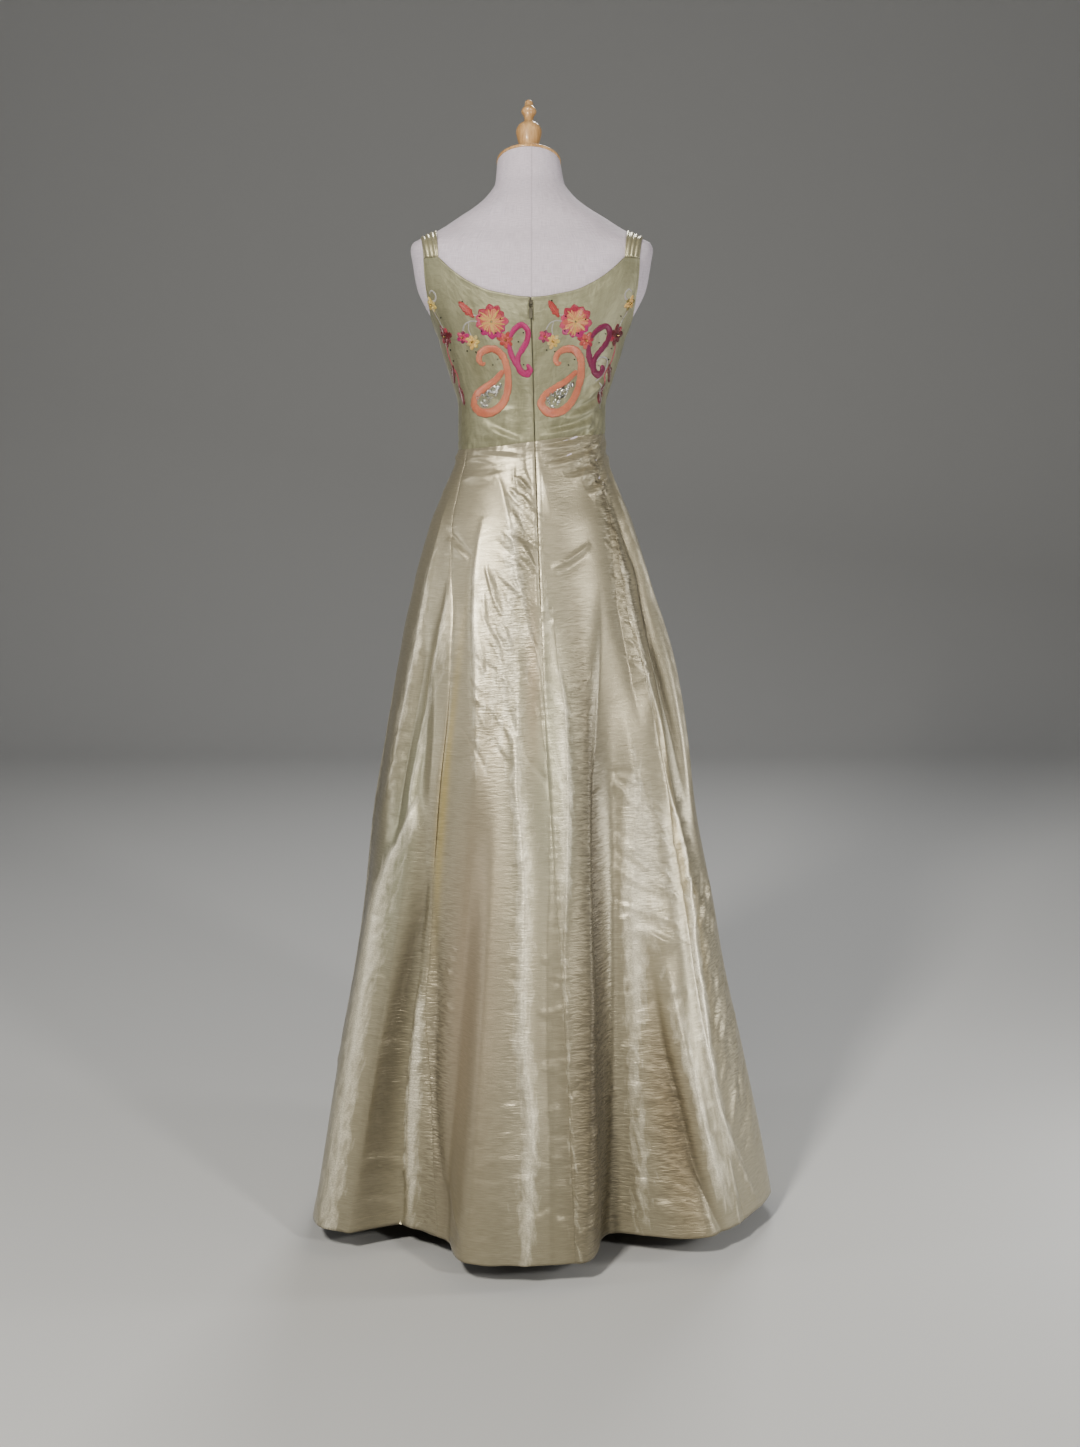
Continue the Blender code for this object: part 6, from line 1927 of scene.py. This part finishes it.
def work_spray(work, spray):
    """A star flower with curling stems and a dark leaf, beside an armhole."""
    spot = Motif(spray.angle, spray.height, 1.0, PLUM, RED)
    small = (PALE_GOLD, YELLOW) if spray.angle < 0.0 else (OLIVE, GOLD)

    def mirrored(stops):
        return [Stop(stop.right * spray.hand, stop.up, stop.half) for stop in stops]

    if spray.height > 1.35:
        work.strip(spot, mirrored(SPRAY_CURL), SILVER_CORD, dome=FINE_DOME)
        work.flower(spot, 0.004 * spray.hand, 0.0460, 0.0110, 6, small, turn=30.0)
    work.strip(spot, mirrored(SPRAY_STEM), ROSE, dome=FINE_DOME)
    work.flower(spot, 0.0, 0.0, 0.0160, 7, (DARK_RED, CRIMSON, DARK_RED), turn=8.0)
    for up, heading in ((-0.0420, -60.0), (-0.0700, -96.0)):
        heading = heading if spray.hand > 0.0 else 180.0 - heading
        work.leaf(spot, 0.0, up, heading, 0.0320, 0.0056, DARK_RED, SILVER_CORD)
    for up in (0.0270, -0.0200, -0.0360):
        work.bead("jet", spot, -0.006 * spray.hand, up)


def make_embroidery():
    """The floral border round the bodice, with its beads."""
    rng = np.random.default_rng(EMBROIDERY_SEED)
    work = Threadwork()
    for spot in MOTIFS:
        work_motif(work, spot, rng)
    for spray in SPRAYS:
        work_spray(work, spray)
    work.build()
    for bead in BEADS:
        angle, height, heading, lift = np.array(work.beads[bead.kind], float).T
        points, outwards = dressed(angle, height, lift + bead.width * BEAD_SEAT)
        level = place_at(np.ones_like(angle), angle + 90.0, 0.0 * angle)
        up = np.cross(outwards, level)
        turn = np.radians(heading)[:, None]
        along = level * np.cos(turn) + up * np.sin(turn)
        repeat_on(bead.kind + "_beads", bead.tree, points, outwards, along, bead.finish,
                  Length=bead.length, Width=bead.width)


# ------------------------------------------------------------------------ stage and camera
CAMERA_PLACE, CAMERA_DOWN, CAMERA_LENS = (0.0124, -3.0, 1.20), 8.13, 48.14
FLOOR_SPAN, FLOOR_BACK, FLOOR_BEND = 9.0, 4.5, 1.2
FLOOR_COLOUR, SKY_COLOUR, SKY_STRENGTH = (0.60, 0.60, 0.59), (0.80, 0.82, 0.86, 1.0), 0.11
WHITE = (1.0, 1.0, 1.0)
Light = namedtuple("Light", "name place target size power colour")
LIGHTS = (
    Light("key", (-1.10, -2.75, 2.55), (0.0, 0.0, 0.85), (0.35, 0.4), 80.0, (1.0, 0.965, 0.90)),
    Light("front", (2.2, -3.3, 2.0), (0.0, 0.0, 0.75), (0.35, 0.4), 42.0, (1.0, 0.97, 0.92)),
    Light("left", (-3.0, -0.9, 1.4), (0.0, 0.0, 0.7), (0.4, 1.0), 9.0, WHITE),
    Light("low_right", (1.75, -0.12, 0.62), (0.15, -0.1, 0.50), (0.25, 0.7), 9.0, WHITE),
    Light("behind", (0.6, 3.1, 3.7), (0.0, 0.0, 0.9), (1.0, 1.0), 60.0, WHITE),
)


def area_light(light):
    """A soft rectangular light, aimed at a point."""
    lamp = bpy.data.lights.new(light.name, "AREA")
    lamp.shape = "RECTANGLE"
    lamp.size, lamp.size_y = light.size
    lamp.energy = light.power
    lamp.color = light.colour
    piece = bpy.data.objects.new(light.name, lamp)
    piece.location = light.place
    aim = np.array(light.target) - np.array(light.place)
    across = math.hypot(aim[0], aim[1])
    piece.rotation_euler = (math.atan2(across, -aim[2]), 0.0, math.atan2(-aim[0], aim[1]))
    bpy.context.scene.collection.objects.link(piece)


def make_stage():
    """A pale floor that curves up behind, soft light, and the camera."""
    floor = Finish("pale_floor", Roughness=0.9)
    floor.colour(FLOOR_COLOUR)
    curve = [(FLOOR_BACK + FLOOR_BEND * math.sin(t), FLOOR_BEND - FLOOR_BEND * math.cos(t))
             for t in np.linspace(0.0, math.pi / 2.0, 17)]
    rows = [(-FLOOR_SPAN, 0.0)] + curve + [(FLOOR_BACK + FLOOR_BEND, FLOOR_SPAN)]
    points = np.array([[(x, y, z) for x in (-FLOOR_SPAN, FLOOR_SPAN)] for y, z in rows])
    faces = [(2 * i, 2 * i + 1, 2 * i + 3, 2 * i + 2) for i in range(len(rows) - 1)]
    add_mesh("studio_floor", points, faces, floor.material)
    world = bpy.data.worlds.new("studio")
    world.use_nodes = True
    sky = world.node_tree.nodes["Background"].inputs
    sky["Color"].default_value = SKY_COLOUR
    sky["Strength"].default_value = SKY_STRENGTH
    bpy.context.scene.world = world
    bpy.context.scene.view_settings.look = "AgX - Medium High Contrast"
    for light in LIGHTS:
        area_light(light)
    lens = bpy.data.cameras.new("camera")
    lens.lens = CAMERA_LENS
    camera = bpy.data.objects.new("camera", lens)
    camera.location = CAMERA_PLACE
    camera.rotation_euler = (math.radians(90.0 - CAMERA_DOWN), 0.0, 0.0)
    bpy.context.scene.collection.objects.link(camera)
    bpy.context.scene.camera = camera


make_torso()
make_neck()
make_stand()
for one_gore in GORES:
    make_gore(one_gore)
make_bodice()
make_strap("strap_left", -1.0)
make_strap("strap_right", 1.0)
make_zip()
make_stitching()
make_embroidery()
make_stage()
